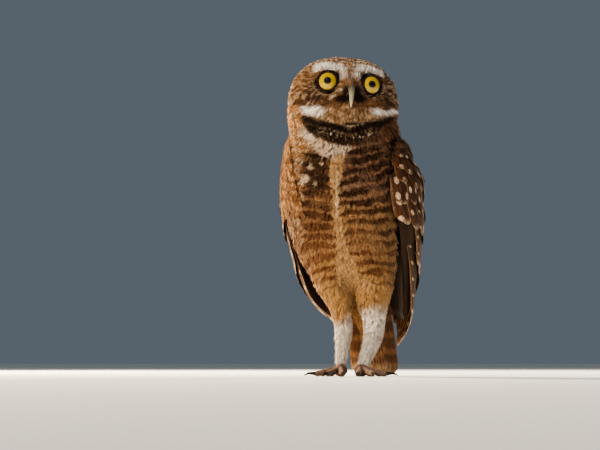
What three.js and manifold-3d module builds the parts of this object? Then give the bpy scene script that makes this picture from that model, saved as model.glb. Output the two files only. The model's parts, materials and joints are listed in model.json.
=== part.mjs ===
// A burrowing owl standing upright, life size, in millimetres. +Z is up, the breast faces -Y and the owl's
// left side is +X. It stands on z = 0 on the pads of its toes, its claws and the tips of its tail feathers.
// The head is turned and tipped towards whoever looks at it from the front. The feathered outline of the
// body is modelled, with the flight and tail feathers and the larger coverts as overlapping vanes.

import * as THREE from "three";
import { mergeVertices } from "three/addons/utils/BufferGeometryUtils.js";
import Module from "manifold-3d";

const wasm = await Module();
wasm.setup();

const GAP = 0.3; // what pieces that touch keep between them
const degrees = THREE.MathUtils.degToRad;
const { lerp, clamp } = THREE.MathUtils;

// Driving sizes of the head, in its own frame: x to its left, y to its back, z up
const HEAD = {
  centre: new THREE.Vector3(1, -5, 203.5),
  turned: 8,
  raised: 4,
  tipped: 3.5,
  wide: 42,
  front: 31,
  back: 37,
  up: 36.5,
  down: 60,
  squareness: 2.35,
  closer: 0.38, // how much closer the mesh is in front than round the sides
};
// Swellings and hollows of the face: where they lie, how far they stand out and how wide they spread, in radians
const FACE = [
  { at: [17, -26, 12], out: -3, spread: 0.27 }, // eye hollow
  { at: [17, -24, 25], out: 2.8, spread: 0.22 }, // outer brow
  { at: [7.5, -28, 23], out: 2.6, spread: 0.22 }, // inner brow
  { at: [32, -17, 12], out: -0.8, spread: 0.3 }, // temple
  { at: [20, -26, -8], out: 2, spread: 0.32 }, // cheek
  { at: [4, -31, 3], out: 2.2, spread: 0.2 }, // bristles beside the bill
];
const CHIN = { at: [0, -29, -13], out: 2.0, spread: 0.34 };
const EYE = { ball: 9.2, side: 17.1, height: 12.2, sunk: 5.9, outward: 18, lift: 2, cornea: 0.9, corneaSpread: 0.75 };
const LID = { inner: 6.1, outer: 8.9, deep: 8, rim: 7.2, round: 0.9 };
const BILL = { wide: 4.1, tip: 0.7, lowerWide: 2.9, lowerTip: 0.9, nostril: 0.8 };
const NECK = { top: 187, bottom: 171 };

// The trunk's levels: height, centre x and y, half width and half depth
const TRUNK = [
  [58, 12, 29, 9, 12],
  [66, 11.5, 26, 23, 21],
  [76, 9.5, 21, 33, 28],
  [90, 6, 15, 39, 33.5],
  [110, 3, 9, 43, 36.5],
  [130, 0.5, 5, 44.5, 37.5],
  [150, 0, 2, 44.3, 37],
  [171, 1.5, -1, 43.3, 35.5],
  [187, 2.6, -3.3, 41.8, 34.6],
  [205, 2, -4, 40, 34],
];

const SQUARENESS = 2.1; // of the trunk's section, 2 being an ellipse

// Each wing lies along a flank: the trunk's own above, and below it these levels, as the trunk's are.
// How it lies: height, how far it stands off between its edges, and the angles of its front and back edge
// from straight ahead. Fullest below 1 brings its greatest swell forward.
const WINGS = {
  left: {
    side: 1,
    fullest: 0.75,
    flank: [
      [23, 15, 42, 26, 13],
      [35, 14, 38, 31, 18],
      [50, 12, 31, 35, 25],
      [70, 10, 23, 35.5, 30],
    ],
    lie: [
      [23, 4.4, 101, 128],
      [35, 8, 91, 143],
      [50, 10, 84, 153],
      [70, 13.5, 75, 160],
      [90, 15, 66, 164],
      [110, 14.3, 57, 165],
      [120, 15.4, 53, 164],
      [130, 14.2, 51, 162],
      [148, 14.6, 49, 155],
      [165, 5.3, 53, 142],
      [177, 0.5, 60, 125],
    ],
  },
  right: {
    side: -1,
    fullest: 1.3,
    flank: [
      [23, 17, 38, 9, 14],
      [35, 15.5, 36, 14.5, 17.5],
      [43, 14, 33, 17.5, 21],
      [50, 13, 31, 25.5, 24],
      [61, 12, 27, 33.5, 28],
      [76, 9.5, 21.5, 38, 31],
    ],
    lie: [
      [23, 3, 100, 140],
      [35, 5, 97, 146],
      [43, 6, 94, 150],
      [50, 7, 92, 153],
      [61, 8.5, 90, 160],
      [76, 9.5, 90, 164],
      [95, 9, 91, 167],
      [110, 8, 94, 168],
      [130, 6, 98, 165],
      [148, 4, 98, 156],
      [165, 1.5, 99, 144],
      [177, 0, 101, 132],
    ],
  },
};
const WING = { top: 177, coreEnd: 44, inner: 0.9, edge: 3, fullness: 0.7, clear: 8 };
// How far the wing's core lies under its outer feathers: height and depth
const SHELF = [
  [40, 5.6],
  [60, 5],
  [80, 4.2],
  [100, 3.1],
  [120, 2],
  [140, 1.2],
  [177, 0.3],
];
// The tiers of vanes on a wing, from the innermost out. Roots and tips are heights; first and last are shares
// of the way from the wing's front edge to its back edge; sunk and proud are the vane's outer face at its root
// and tip, measured from the wing's outer surface
const TIERS = [
  {
    count: 7, root: [104, 92], tip: [46, 23.5, 27, 44], first: 0.14, last: 0.72, closing: 0.75,
    wide: 16, sunk: -4.6, proud: -2.6, thick: 1.6,
  },
  {
    count: 6, root: [126, 120], tip: [82, 62, 55, 56], first: 0.22, last: 0.9, closing: 0.9,
    wide: 19, sunk: -3.3, proud: -1.5, thick: 1.9,
  },
  {
    count: 6, root: [146, 142], tip: [112, 100, 97, 99], first: 0.09, last: 0.84, closing: 1,
    wide: 17, sunk: -1.9, proud: -0.2, thick: 2.1,
  },
  {
    count: 4, root: [163, 160], tip: [138, 128, 125, 127], first: 0.12, last: 0.76, closing: 1,
    wide: 20, sunk: -1.1, proud: 0.6, thick: 2,
  },
  {
    count: 3, root: [168, 160], tip: [124, 112, 104, 98], first: 0.76, last: 0.97, closing: 1,
    wide: 17, sunk: -1, proud: 1.3, thick: 2.1,
  },
];
// A vane's outline: how far along, and its share of the full width there
const VANE_OUTLINE = [
  [0, 0.6],
  [0.55, 1],
  [0.88, 0.82],
  [1, 0.32],
];

const TAIL = {
  root: new THREE.Vector3(15.5, 39, 80),
  tip: new THREE.Vector3(29.5, 55.5, 0),
  turned: 20,
  count: 10,
  wide: 12.5,
  thick: 0.9,
  step: 0.62,
  spreadAtRoot: 17,
  spreadAtTip: 27,
  shorterOutside: 2.2,
  bow: 4,
};
const RUMP = { wide: 15.5, deep: 9 };

// Each leg's levels as the trunk's are, the height where thigh and shank meet, and the foot: where it stands,
// which way it is turned, and each toe's angle and length
const LEGS = {
  left: {
    levels: [
      [4.5, 14.6, -3.5, 4.4, 4.2],
      [9, 15.9, -0.5, 5.4, 5],
      [16, 18.8, 4.5, 6.3, 6],
      [23, 21.8, 9, 7.1, 7],
      [31, 24, 13, 7.9, 8.2],
      [40, 24.6, 14.2, 8.6, 9.6],
      [50, 23.4, 11.5, 11.4, 12.6],
      [60, 24, 10, 13.8, 15.6],
      [72, 25, 9.5, 15.6, 18.4],
      [86, 24, 11, 16, 20],
      [98, 22, 13, 12, 16],
    ],
    foot: { x: 14.2, y: -5, turned: 4, toes: [[-13, 17], [15, 19], [64, 15], [172, 9]] },
  },
  right: {
    levels: [
      [4.5, -1.2, 3.5, 4.2, 4.2],
      [9, -0.9, 5.5, 4.8, 4.9],
      [16, -0.2, 8.8, 5.1, 5.6],
      [23, 0.7, 12, 5.6, 6.4],
      [31, 1.4, 15.3, 6.6, 7.8],
      [40, 1.4, 16.2, 7.4, 9.2],
      [50, -0.4, 13.4, 8.8, 12.2],
      [60, -3.8, 11.7, 12.2, 15.4],
      [72, -7.4, 11.2, 16, 18.5],
      [86, -8.5, 12.5, 16.5, 20],
      [98, -8, 14, 12, 16],
    ],
    foot: { x: -1.4, y: 2.5, turned: -5, toes: [[8, 17], [-20, 19], [-66, 15], [-172, 9]] },
  },
};
const HEEL = 36;
const FOOT = { palm: 5.4, palmHeight: 4.6, toe: 2.5, toeTip: 2, pad: 0.45, low: 1.9 };
const CLAW = { length: 9.5, thick: 1.45, tip: 0.3, rise: 2.3, down: 0.45 };

const COLOURS = {
  head: [0x8a6848, 0.9],
  body: [0x9a7653, 0.9],
  legs: [0xcdb79c, 0.9],
  wing: [0x5d4230, 0.85],
  tail: [0x7f5a3a, 0.85],
  eye: [0xd9b81c, 0.1],
  bill: [0xb5ad8c, 0.45],
  foot: [0x8a7560, 0.7],
  claw: [0x2b2522, 0.4],
};

// Joins rows of numbers, each led by where it stands, by smooth curves; returns the values at a place
function through(rows) {
  const slope = (i, k) => {
    const a = rows[Math.max(i - 1, 0)];
    const b = rows[Math.min(i + 1, rows.length - 1)];
    return (b[k] - a[k]) / (b[0] - a[0]);
  };
  return (where) => {
    const at = clamp(where, rows[0][0], rows[rows.length - 1][0]);
    const i = Math.max(0, rows.findLastIndex((row, n) => row[0] <= at && n < rows.length - 1));
    const [from, to] = [rows[i], rows[i + 1]];
    const span = to[0] - from[0];
    const t = (at - from[0]) / span;
    return from.slice(1).map((value, n) => {
      const rise = slope(i, n + 1) * span;
      const fall = slope(i + 1, n + 1) * span;
      const next = to[n + 1];
      return (
        value * (2 * t ** 3 - 3 * t ** 2 + 1) +
        rise * (t ** 3 - 2 * t ** 2 + t) +
        next * (3 * t ** 2 - 2 * t ** 3) +
        fall * (t ** 3 - t ** 2)
      );
    });
  };
}

// A closed geometry as a solid with its faces outwards
function solid(geometry) {
  const bare = new THREE.BufferGeometry().setAttribute("position", geometry.attributes.position);
  bare.setIndex(geometry.index);
  const merged = mergeVertices(bare, 1e-3);
  const build = (triVerts) =>
    new wasm.Manifold(new wasm.Mesh({ numProp: 3, vertProperties: merged.attributes.position.array, triVerts }));
  const made = build(new Uint32Array(merged.index.array));
  return made.volume() > 0 ? made : build(new Uint32Array(merged.index.array).reverse());
}

// A rounded closed body with a pole at each end: pointAt gives the point at a share of a turn round it and a
// share of the way from its first pole to its last
function shell(around, along, pointAt) {
  const geometry = new THREE.SphereGeometry(1, around, along);
  const { position, uv } = geometry.attributes;
  for (let i = 0; i < position.count; i++) {
    const point = pointAt(uv.getX(i), 1 - uv.getY(i));
    position.setXYZ(i, point.x, point.y, point.z);
  }
  return solid(geometry);
}

// A thin closed plate over a net of points, split alike on both faces: pointAt gives the point at a share
// along, a side from -1 to 1 and a face, 1 outside and 0 inside
function plate(stations, across, pointAt) {
  const columns = across + 1;
  const faceSize = stations.length * columns;
  const points = [];
  for (const face of [1, 0])
    for (const share of stations)
      for (let c = 0; c < columns; c++) points.push(...pointAt(share, (2 * c) / across - 1, face).toArray());
  const index = [];
  const quad = (a, b, c, d) => index.push(a, b, c, a, c, d);
  for (let r = 0; r + 1 < stations.length; r++)
    for (let c = 0; c < across; c++) {
      const [a, b] = [r * columns + c, r * columns + c + 1];
      const [d, e] = [a + columns, b + columns];
      quad(a, b, e, d);
      index.push(faceSize + a, faceSize + e, faceSize + b, faceSize + a, faceSize + d, faceSize + e);
    }
  const rim = [];
  for (let c = 0; c < across; c++) rim.push(c);
  for (let r = 0; r + 1 < stations.length; r++) rim.push(r * columns + across);
  for (let c = across; c > 0; c--) rim.push((stations.length - 1) * columns + c);
  for (let r = stations.length - 1; r > 0; r--) rim.push(r * columns);
  rim.forEach((a, i) => {
    const b = rim[(i + 1) % rim.length];
    quad(b, a, faceSize + a, faceSize + b);
  });
  const geometry = new THREE.BufferGeometry();
  geometry.setAttribute("position", new THREE.Float32BufferAttribute(points, 3));
  geometry.setIndex(index);
  return solid(geometry);
}

// A limb or trunk through levels of [height, x, y, half width, half depth], closed at both ends
function column(levels, around, along, grow = 0, squareness = 2) {
  const section = through(levels);
  const [bottom, top] = [levels[0][0] - grow, levels[levels.length - 1][0] + grow];
  return shell(around, along, (turn, share) => {
    const z = lerp(top, bottom, (1 - Math.cos(Math.PI * share)) / 2);
    const [x, y, wide, deep] = section(z);
    const closing = share > 0 && share < 1 ? 1 - (1 - Math.sin(Math.PI * share)) ** 6 : 0;
    const [s, c] = [Math.sin(2 * Math.PI * turn), -Math.cos(2 * Math.PI * turn)];
    const reach = closing / (Math.abs(s) ** squareness + Math.abs(c) ** squareness) ** (1 / squareness);
    return new THREE.Vector3(x + (wide + grow) * s * reach, y + (deep + grow) * c * reach, z);
  });
}

// A tapered rod along a curve, with round ends; radiusAt gives its radius at a share of the way
function rod(curve, around, along, radiusAt) {
  const frames = curve.computeFrenetFrames(along, false);
  return shell(around, along, (turn, share) => {
    const i = Math.round(share * along);
    const closed = share <= 0 || share >= 1;
    const radius = closed ? 0 : radiusAt(share);
    const centre = curve.getPointAt(share);
    return centre
      .addScaledVector(frames.normals[i], radius * Math.cos(2 * Math.PI * turn))
      .addScaledVector(frames.binormals[i], radius * Math.sin(2 * Math.PI * turn));
  });
}

// Fuses solids and keeps the largest closed body
function fuse(...solids) {
  return largest(wasm.Manifold.union(solids.flat()));
}
function largest(made) {
  return made.decompose().sort((a, b) => b.volume() - a.volume())[0];
}

// From the head's own frame to the owl's
const headFrame = new THREE.Matrix4().compose(
  HEAD.centre,
  new THREE.Quaternion().setFromEuler(
    new THREE.Euler(-degrees(HEAD.raised), degrees(HEAD.tipped), degrees(HEAD.turned), "ZXY"),
  ),
  new THREE.Vector3(1, 1, 1),
);
const onHead = (x, y, z) => new THREE.Vector3(x, y, z).applyMatrix4(headFrame);

// How far the head's surface lies from its centre along a direction
const swellings = [
  ...FACE,
  ...FACE.map(({ at: [x, y, z], ...rest }) => ({ at: [-x, y, z], ...rest })),
  CHIN,
].map(({ at, out, spread }) => ({ towards: new THREE.Vector3(...at).normalize(), out, spread }));
function headReach(towards) {
  const { wide, front, back, up, down, squareness: n } = HEAD;
  const shares = [
    towards.x / wide,
    towards.y / (towards.y < 0 ? front : back),
    towards.z / (towards.z > 0 ? up : down),
  ];
  const plain = shares.reduce((sum, share) => sum + Math.abs(share) ** n, 0) ** (-1 / n);
  return swellings.reduce(
    (reach, s) => reach + s.out * Math.exp(-((towards.angleTo(s.towards) / s.spread) ** 2)),
    plain,
  );
}
function headSkin(grow = 0) {
  return shell(32, 22, (turn, share) => {
    const tilt = Math.PI * share;
    const round = 2 * Math.PI * turn - HEAD.closer * Math.sin(2 * Math.PI * turn);
    const towards = new THREE.Vector3(
      Math.sin(tilt) * Math.sin(round),
      Math.sin(tilt) * -Math.cos(round),
      Math.cos(tilt),
    );
    return onHead(...towards.multiplyScalar(headReach(towards) + grow));
  });
}

// The point on the face in front of an eye, and the way that the eye looks
function eyeSeat(side) {
  const towards = new THREE.Vector3(side * EYE.side, -26, EYE.height).normalize();
  const onFace = towards.clone().multiplyScalar(headReach(towards));
  const looks = new THREE.Vector3(0, -1, Math.tan(degrees(EYE.lift)))
    .normalize()
    .applyAxisAngle(new THREE.Vector3(0, 0, 1), side * degrees(EYE.outward));
  return { centre: onFace.addScaledVector(looks, -EYE.sunk), looks };
}
function eyeBall(side, grow = 0) {
  const { centre, looks } = eyeSeat(side);
  const turnToLook = new THREE.Quaternion().setFromUnitVectors(new THREE.Vector3(0, 0, 1), looks);
  return shell(16, 11, (turn, share) => {
    const tilt = Math.PI * share;
    const radius = EYE.ball + grow + EYE.cornea * Math.exp(-((tilt / EYE.corneaSpread) ** 2));
    const point = new THREE.Vector3(
      radius * Math.sin(tilt) * Math.cos(2 * Math.PI * turn),
      radius * Math.sin(tilt) * Math.sin(2 * Math.PI * turn),
      radius * Math.cos(tilt),
    );
    return onHead(...point.applyQuaternion(turnToLook).add(centre));
  });
}
// The ring of the two lids round an eye
function lids(side) {
  const { centre, looks } = eyeSeat(side);
  const turnToLook = new THREE.Quaternion().setFromUnitVectors(new THREE.Vector3(0, 1, 0), looks);
  const { inner, outer, deep, rim, round } = LID;
  const profile = [
    new THREE.Vector2(inner, rim - deep),
    new THREE.Vector2(outer + 0.5, rim - deep),
    new THREE.Vector2(outer, rim - 3 * round),
    new THREE.Vector2(outer - round, rim - 0.6 * round),
    new THREE.Vector2(inner + round, rim),
    new THREE.Vector2(inner, rim - round),
    new THREE.Vector2(inner, rim - deep),
  ];
  const ring = new THREE.LatheGeometry(profile, 20);
  ring.applyQuaternion(turnToLook).translate(...centre.toArray()).applyMatrix4(headFrame);
  return solid(ring);
}

const upperBillCurve = new THREE.CatmullRomCurve3(
  [[0, -25, 10.5], [0, -31.5, 10], [0, -35.5, 6], [0, -37.4, 0.5], [0, -37.6, -4.5], [0, -36.6, -8.6]].map(
    (at) => onHead(...at),
  ),
);
const lowerBillCurve = new THREE.CatmullRomCurve3(
  [[0, -25, 1.5], [0, -30.5, 0.2], [0, -33.4, -2.4], [0, -34.8, -5.4]].map((at) => onHead(...at)),
);
function upperBill(grow = 0) {
  return rod(upperBillCurve, 12, 10, (share) => lerp(BILL.wide, BILL.tip, share ** 1.5) + grow);
}
function lowerBill(grow = 0) {
  return rod(lowerBillCurve, 10, 6, (share) => lerp(BILL.lowerWide, BILL.lowerTip, share ** 1.6) + grow);
}
function nostril(side) {
  const start = onHead(side * 2.2, -34.5, 9.2);
  const end = onHead(side * 5.5, -33, 8.6);
  return rod(new THREE.LineCurve3(start, end), 6, 4, () => BILL.nostril);
}

// A point of a wing: share from its front edge to its back edge, height and how far out from its flank
const wingLie = {};
for (const [name, { flank, lie }] of Object.entries(WINGS)) {
  const lowestOnTrunk = flank[flank.length - 1][0] + WING.clear;
  wingLie[name] = {
    flank: through([...flank, ...TRUNK.filter(([height]) => height > lowestOnTrunk)]),
    lie: through(lie),
  };
}
function wingPoint(name, share, z, out) {
  const [x, y, wide, deep] = wingLie[name].flank(z);
  const [, front, back] = wingLie[name].lie(z);
  const angle = degrees(lerp(front, back, share));
  const [s, c] = [Math.sin(angle), Math.cos(angle)];
  const reach = (Math.abs(s) ** SQUARENESS + Math.abs(c) ** SQUARENESS) ** (-1 / SQUARENESS);
  return new THREE.Vector3(x + WINGS[name].side * (wide + out) * s * reach, y - (deep + out) * c * reach, z);
}
// How far the wing's outer feathers stand out from its flank
function wingStand(name, share, z) {
  const [stand] = wingLie[name].lie(z);
  const across = clamp(share, 0, 1) ** WINGS[name].fullest;
  return WING.edge + stand * Math.sin(Math.PI * across) ** WING.fullness;
}
// A wing's span from edge to edge at a height
function wingChord(name, z) {
  const [, , wide] = wingLie[name].flank(z);
  const [stand, front, back] = wingLie[name].lie(z);
  return degrees(back - front) * (wide + WING.edge + stand / 2);
}
const shelf = through(SHELF);
function wingCore(name) {
  const stations = Array.from({ length: 12 }, (_, i) => i / 11);
  return plate(stations, 8, (share, side, face) => {
    const z = lerp(WING.top, WING.coreEnd, share);
    const taper = share ** 6;
    const across = 0.5 - 0.1 * taper + side * (lerp(0.43, 0.5, Math.sin(Math.PI * share)) - 0.22 * taper);
    const [under] = shelf(z);
    const outer = Math.max(wingStand(name, across, z) - under, WING.inner + 0.8);
    return wingPoint(name, across, z, face ? outer : WING.inner);
  });
}
// One vane of a wing, along the wing from its root to its tip
function wingVane(name, tier, i) {
  const place = i / (tier.count - 1);
  const root = lerp(tier.root[0], tier.root[1], place);
  const tips = through(tier.tip.map((height, n) => [n / (tier.tip.length - 1), height]));
  const [tip] = tips(place);
  const acrossRoot = lerp(tier.first, tier.last, place);
  const acrossTip = 0.5 + (acrossRoot - 0.5) * tier.closing;
  const wide = tier.wide * (1 + 0.06 * Math.sin(5 * i));
  const widths = new Map(VANE_OUTLINE);
  return plate([...widths.keys()], 2, (share, side, face) => {
    const z = lerp(root, tip, share);
    const half = (wide / 2) * widths.get(share);
    const across = lerp(acrossRoot, acrossTip, share) + (side * half) / wingChord(name, z);
    const lift = lerp(tier.sunk, tier.proud, share) - 0.35 * side * side - 0.3 * side;
    const outer = Math.max(wingStand(name, across, z) + lift, WING.inner + 1.1);
    return wingPoint(name, across, z, face ? outer : Math.max(outer - tier.thick, WING.inner + 0.3));
  });
}
function wing(name) {
  const vanes = TIERS.flatMap((tier) => Array.from({ length: tier.count }, (_, i) => wingVane(name, tier, i)));
  return fuse(wingCore(name), vanes);
}

// The tail: its direction, and across and behind it
const tailLine = new THREE.Line3(TAIL.root, TAIL.tip);
const tailAcross = new THREE.Vector3(Math.cos(degrees(TAIL.turned)), -Math.sin(degrees(TAIL.turned)), 0);
const tailBack = new THREE.Vector3()
  .crossVectors(tailLine.delta(new THREE.Vector3()), tailAcross)
  .normalize()
  .negate();
function tailPoint(share, aside, behind) {
  const bowed = behind + TAIL.bow * Math.sin(Math.PI * share) - (aside * aside) / 90;
  return tailLine.at(share, new THREE.Vector3()).addScaledVector(tailAcross, aside).addScaledVector(tailBack, bowed);
}
function tailVane(i, grow = 0) {
  const place = i - (TAIL.count - 1) / 2;
  const share = place / (TAIL.count - 1);
  const layer = TAIL.step * (2 * Math.abs(place) + (place < 0 ? 0.5 : -0.5));
  const reach = 1 - (TAIL.shorterOutside * Math.abs(2 * share) ** 2) / tailLine.distance();
  const widths = new Map(VANE_OUTLINE);
  return plate([...widths.keys()], 2, (along, side, face) => {
    const centre = share * lerp(TAIL.spreadAtRoot, TAIL.spreadAtTip, along);
    const half = (TAIL.wide / 2) * lerp(widths.get(along), 1, 0.2) + grow;
    const behind = -layer / 2 - 0.25 * side * side + (face ? grow : -TAIL.thick - grow);
    return tailPoint(along * reach + (along === 1 ? grow / 80 : 0), centre + side * half, behind);
  });
}
function rump(grow = 0) {
  const curve = new THREE.CatmullRomCurve3([0, 0.25, 0.5, 0.72].map((share) => tailPoint(share - 0.02, 0, -2.5)));
  const levels = 8;
  return shell(14, levels, (turn, share) => {
    const closing = share <= 0 || share >= 1 ? 0 : Math.sin(Math.PI * (0.28 + 0.72 * share)) ** 0.6;
    const [s, c] = [Math.sin(2 * Math.PI * turn), Math.cos(2 * Math.PI * turn)];
    return curve
      .getPointAt(clamp(share, 0, 1))
      .addScaledVector(tailAcross, s * (RUMP.wide * closing + grow * Math.sign(closing)))
      .addScaledVector(tailBack, c * (RUMP.deep * closing + grow * Math.sign(closing)));
  });
}
function tail(grow = 0) {
  return fuse(
    rump(grow),
    Array.from({ length: TAIL.count }, (_, i) => tailVane(i, grow)),
  );
}

// A toe's path, from the middle of the palm to the toe's end, and the way that it points
function toePath({ x, y, turned }, [angle, length]) {
  const heading = degrees(turned + angle);
  const ahead = new THREE.Vector3(Math.sin(heading), -Math.cos(heading), 0);
  const at = (far, high) => new THREE.Vector3(x, y, high).addScaledVector(ahead, far);
  const reach = FOOT.palm + length;
  return {
    ahead,
    end: at(reach, FOOT.low),
    curve: new THREE.CatmullRomCurve3([
      at(0, FOOT.palmHeight),
      at(reach * 0.35, FOOT.palmHeight),
      at(reach * 0.6, FOOT.low + 1.1),
      at(reach * 0.82, FOOT.low + 0.5),
      at(reach, FOOT.low),
    ]),
  };
}
function foot(place, grow = 0) {
  const palm = new THREE.SphereGeometry(1, 12, 8)
    .scale(FOOT.palm + grow, FOOT.palm + grow, FOOT.palmHeight + grow)
    .translate(place.x, place.y, FOOT.palmHeight);
  const toes = place.toes.map((toe) =>
    rod(toePath(place, toe).curve, 10, 12, (share) => {
      const joints = FOOT.pad * Math.max(0, Math.sin(share * 4 * Math.PI - 0.6)) ** 2;
      const round = share > 0.9 ? 0.86 : 1;
      return (lerp(FOOT.toe, FOOT.toeTip, share) + joints) * round + grow;
    }),
  );
  return fuse(solid(palm), toes);
}
function claw(place, toe) {
  const { ahead, end } = toePath(place, toe);
  const at = (far, high) => end.clone().addScaledVector(ahead, far * CLAW.length).setZ(high);
  const curve = new THREE.CatmullRomCurve3([
    at(-0.3, FOOT.low),
    at(0.1, FOOT.low + 0.5),
    at(0.45, CLAW.rise + 0.2),
    at(0.75, CLAW.rise - 0.7),
    at(0.94, CLAW.down),
  ]);
  return rod(curve, 7, 6, (share) => lerp(CLAW.thick, CLAW.tip, share ** 1.3));
}

const UP = [0, 0, 1];
const DOWN = [0, 0, -1];
const above = (made, z) => made.trimByPlane(UP, z);
const below = (made, z) => made.trimByPlane(DOWN, -z);

const pieces = new Map();
const add = (name, made, [colour, roughness]) => pieces.set(name, { made: largest(made), colour, roughness });

// Head, eyes and bill
const sides = { left: 1, right: -1 };
const balls = [eyeBall(1, GAP), eyeBall(-1, GAP)];
const headWhole = fuse(headSkin(), lids(1), lids(-1));
add(
  "head",
  above(headWhole, NECK.top + GAP).subtract(wasm.Manifold.union([...balls, upperBill(GAP), lowerBill(GAP)])),
  COLOURS.head,
);
for (const [name, side] of Object.entries(sides)) add("eye_" + name, eyeBall(side), COLOURS.eye);
add("bill_upper", upperBill().subtract(wasm.Manifold.union([nostril(1), nostril(-1)])), COLOURS.bill);
add("bill_lower", lowerBill().subtract(upperBill(GAP)), COLOURS.bill);

// Neck and torso
const trunk = column(TRUNK, 30, 20, 0, SQUARENESS);
const trunkGrown = column(TRUNK, 30, 20, GAP, SQUARENESS);
add("neck", above(below(trunk, NECK.top), NECK.bottom + GAP), COLOURS.body);
add("torso", below(trunk, NECK.bottom), COLOURS.body);

// Tail, cut clear of the trunk
const tailPiece = above(tail(), 0).subtract(trunkGrown);
add("tail", tailPiece, COLOURS.tail);
const tailGrown = tail(GAP);

// Legs and feet
const legSolid = (leg, grow) => column(leg.levels, 14, 18, grow);
const legsGrown = [];
for (const [name, leg] of Object.entries(LEGS)) {
  const cutters = wasm.Manifold.union([trunkGrown, tailGrown, ...legsGrown]);
  const footGrown = foot(leg.foot, GAP);
  const whole = above(legSolid(leg, 0).subtract(cutters).subtract(footGrown), FOOT.low);
  add("thigh_" + name, above(whole, HEEL + GAP), COLOURS.legs);
  add("shank_" + name, below(whole, HEEL), COLOURS.legs);
  add("foot_" + name, above(foot(leg.foot), 0), COLOURS.foot);
  leg.foot.toes.forEach((toe, i) => {
    add("claw_" + name + "_" + (i + 1), above(claw(leg.foot, toe), 0).subtract(footGrown), COLOURS.claw);
  });
  legsGrown.push(legSolid(leg, GAP));
}

// Wings, cut clear of what they lie on
for (const name of Object.keys(WINGS)) {
  const cutters = wasm.Manifold.union([trunkGrown, tailGrown, headSkin(GAP), ...legsGrown]);
  add("wing_" + name, wing(name).subtract(cutters), COLOURS.wing);
}

const owl = new THREE.Group();
for (const [name, { made, colour, roughness }] of pieces) {
  const { vertProperties, triVerts } = made.getMesh();
  const geometry = new THREE.BufferGeometry();
  geometry.setAttribute("position", new THREE.BufferAttribute(vertProperties, 3));
  geometry.setIndex(new THREE.BufferAttribute(triVerts, 1));
  const mesh = new THREE.Mesh(geometry, new THREE.MeshStandardMaterial({ color: colour, roughness, metalness: 0 }));
  mesh.name = name;
  owl.add(mesh);
}

// The origin is on the floor under the middle of the whole owl
const middle = new THREE.Box3().setFromObject(owl).getCenter(new THREE.Vector3());
owl.position.set(-middle.x, -middle.y, 0);

export default owl;
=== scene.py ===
# A burrowing owl in its plumage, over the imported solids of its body. Lengths and places are in millimetres,
# in the frame that the owl's solids were laid out in, until a mesh is made: in metres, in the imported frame.
import json
from math import cos, pi, radians, sin, tan

import bmesh
import bpy
import numpy as np
from mathutils import Matrix, Vector
from mathutils.bvhtree import BVHTree

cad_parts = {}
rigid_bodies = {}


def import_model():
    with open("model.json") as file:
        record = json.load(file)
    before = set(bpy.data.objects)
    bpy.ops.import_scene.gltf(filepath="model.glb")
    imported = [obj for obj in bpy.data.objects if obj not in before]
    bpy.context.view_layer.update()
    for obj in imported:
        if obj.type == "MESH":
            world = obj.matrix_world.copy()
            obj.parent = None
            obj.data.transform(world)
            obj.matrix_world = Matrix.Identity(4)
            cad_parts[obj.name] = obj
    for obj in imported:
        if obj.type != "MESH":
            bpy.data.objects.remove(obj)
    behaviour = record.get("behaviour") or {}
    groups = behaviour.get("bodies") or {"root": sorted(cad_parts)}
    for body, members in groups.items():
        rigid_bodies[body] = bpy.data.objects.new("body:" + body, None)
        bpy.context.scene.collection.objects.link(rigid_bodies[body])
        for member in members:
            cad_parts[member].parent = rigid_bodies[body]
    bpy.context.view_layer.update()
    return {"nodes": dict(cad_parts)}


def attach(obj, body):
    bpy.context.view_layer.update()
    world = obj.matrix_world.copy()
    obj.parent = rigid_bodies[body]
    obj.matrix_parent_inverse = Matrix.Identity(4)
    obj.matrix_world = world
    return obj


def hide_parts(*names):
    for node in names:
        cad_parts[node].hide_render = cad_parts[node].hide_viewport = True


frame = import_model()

bl_info = {
    "name": "Burrowing owl",
    "version": (1, 0, 0),
    "blender": (4, 5, 0),
    "location": "3D View > Sidebar > Owl",
    "description": "Gives the packed body of a burrowing owl its skin, feathers, eyes, bill and feet",
    "category": "Add Mesh",
}

MM = 0.001
SEED = 20


# Values that a user would change


def linear(code):
    """A colour written as six hexadecimal digits, as linear red, green and blue."""
    shares = [int(code[i : i + 2], 16) / 255 for i in (0, 2, 4)]
    return tuple(s / 12.92 if s <= 0.04045 else ((s + 0.055) / 1.055) ** 2.4 for s in shares)


def length(name, description, millimetres):
    return bpy.props.FloatProperty(
        name=name, description=description, default=millimetres * MM, min=0, unit="LENGTH", subtype="DISTANCE"
    )


def colour(name, description, code):
    return bpy.props.FloatVectorProperty(
        name=name, description=description, default=linear(code), min=0, max=1, size=3, subtype="COLOR"
    )


class OwlSizes(bpy.types.PropertyGroup):
    """Depths of the coat, and sizes of the eyes and the markings"""

    face_coat: length("Face coat", "How deep the feathers of the face lie over the skin", 2.0)
    head_coat: length("Head coat", "How deep the feathers of the rest of the head lie", 3.0)
    neck_coat: length("Neck coat", "How deep the feathers of the neck lie", 4.5)
    body_coat: length("Body coat", "How deep the feathers of the breast, belly and back lie", 5.5)
    thigh_coat: length("Thigh coat", "How deep the feathers of the thighs lie", 4.0)
    shank_coat: length("Shank coat", "How deep the down of the shanks lies", 1.0)
    iris: length("Iris", "Diameter of the coloured ring of the eye", 13.9)
    pupil: length("Pupil", "Diameter of the pupil", 5.3)
    bar_period: length("Bar spacing", "Height from one dark bar of the breast to the next", 7.3)


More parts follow.
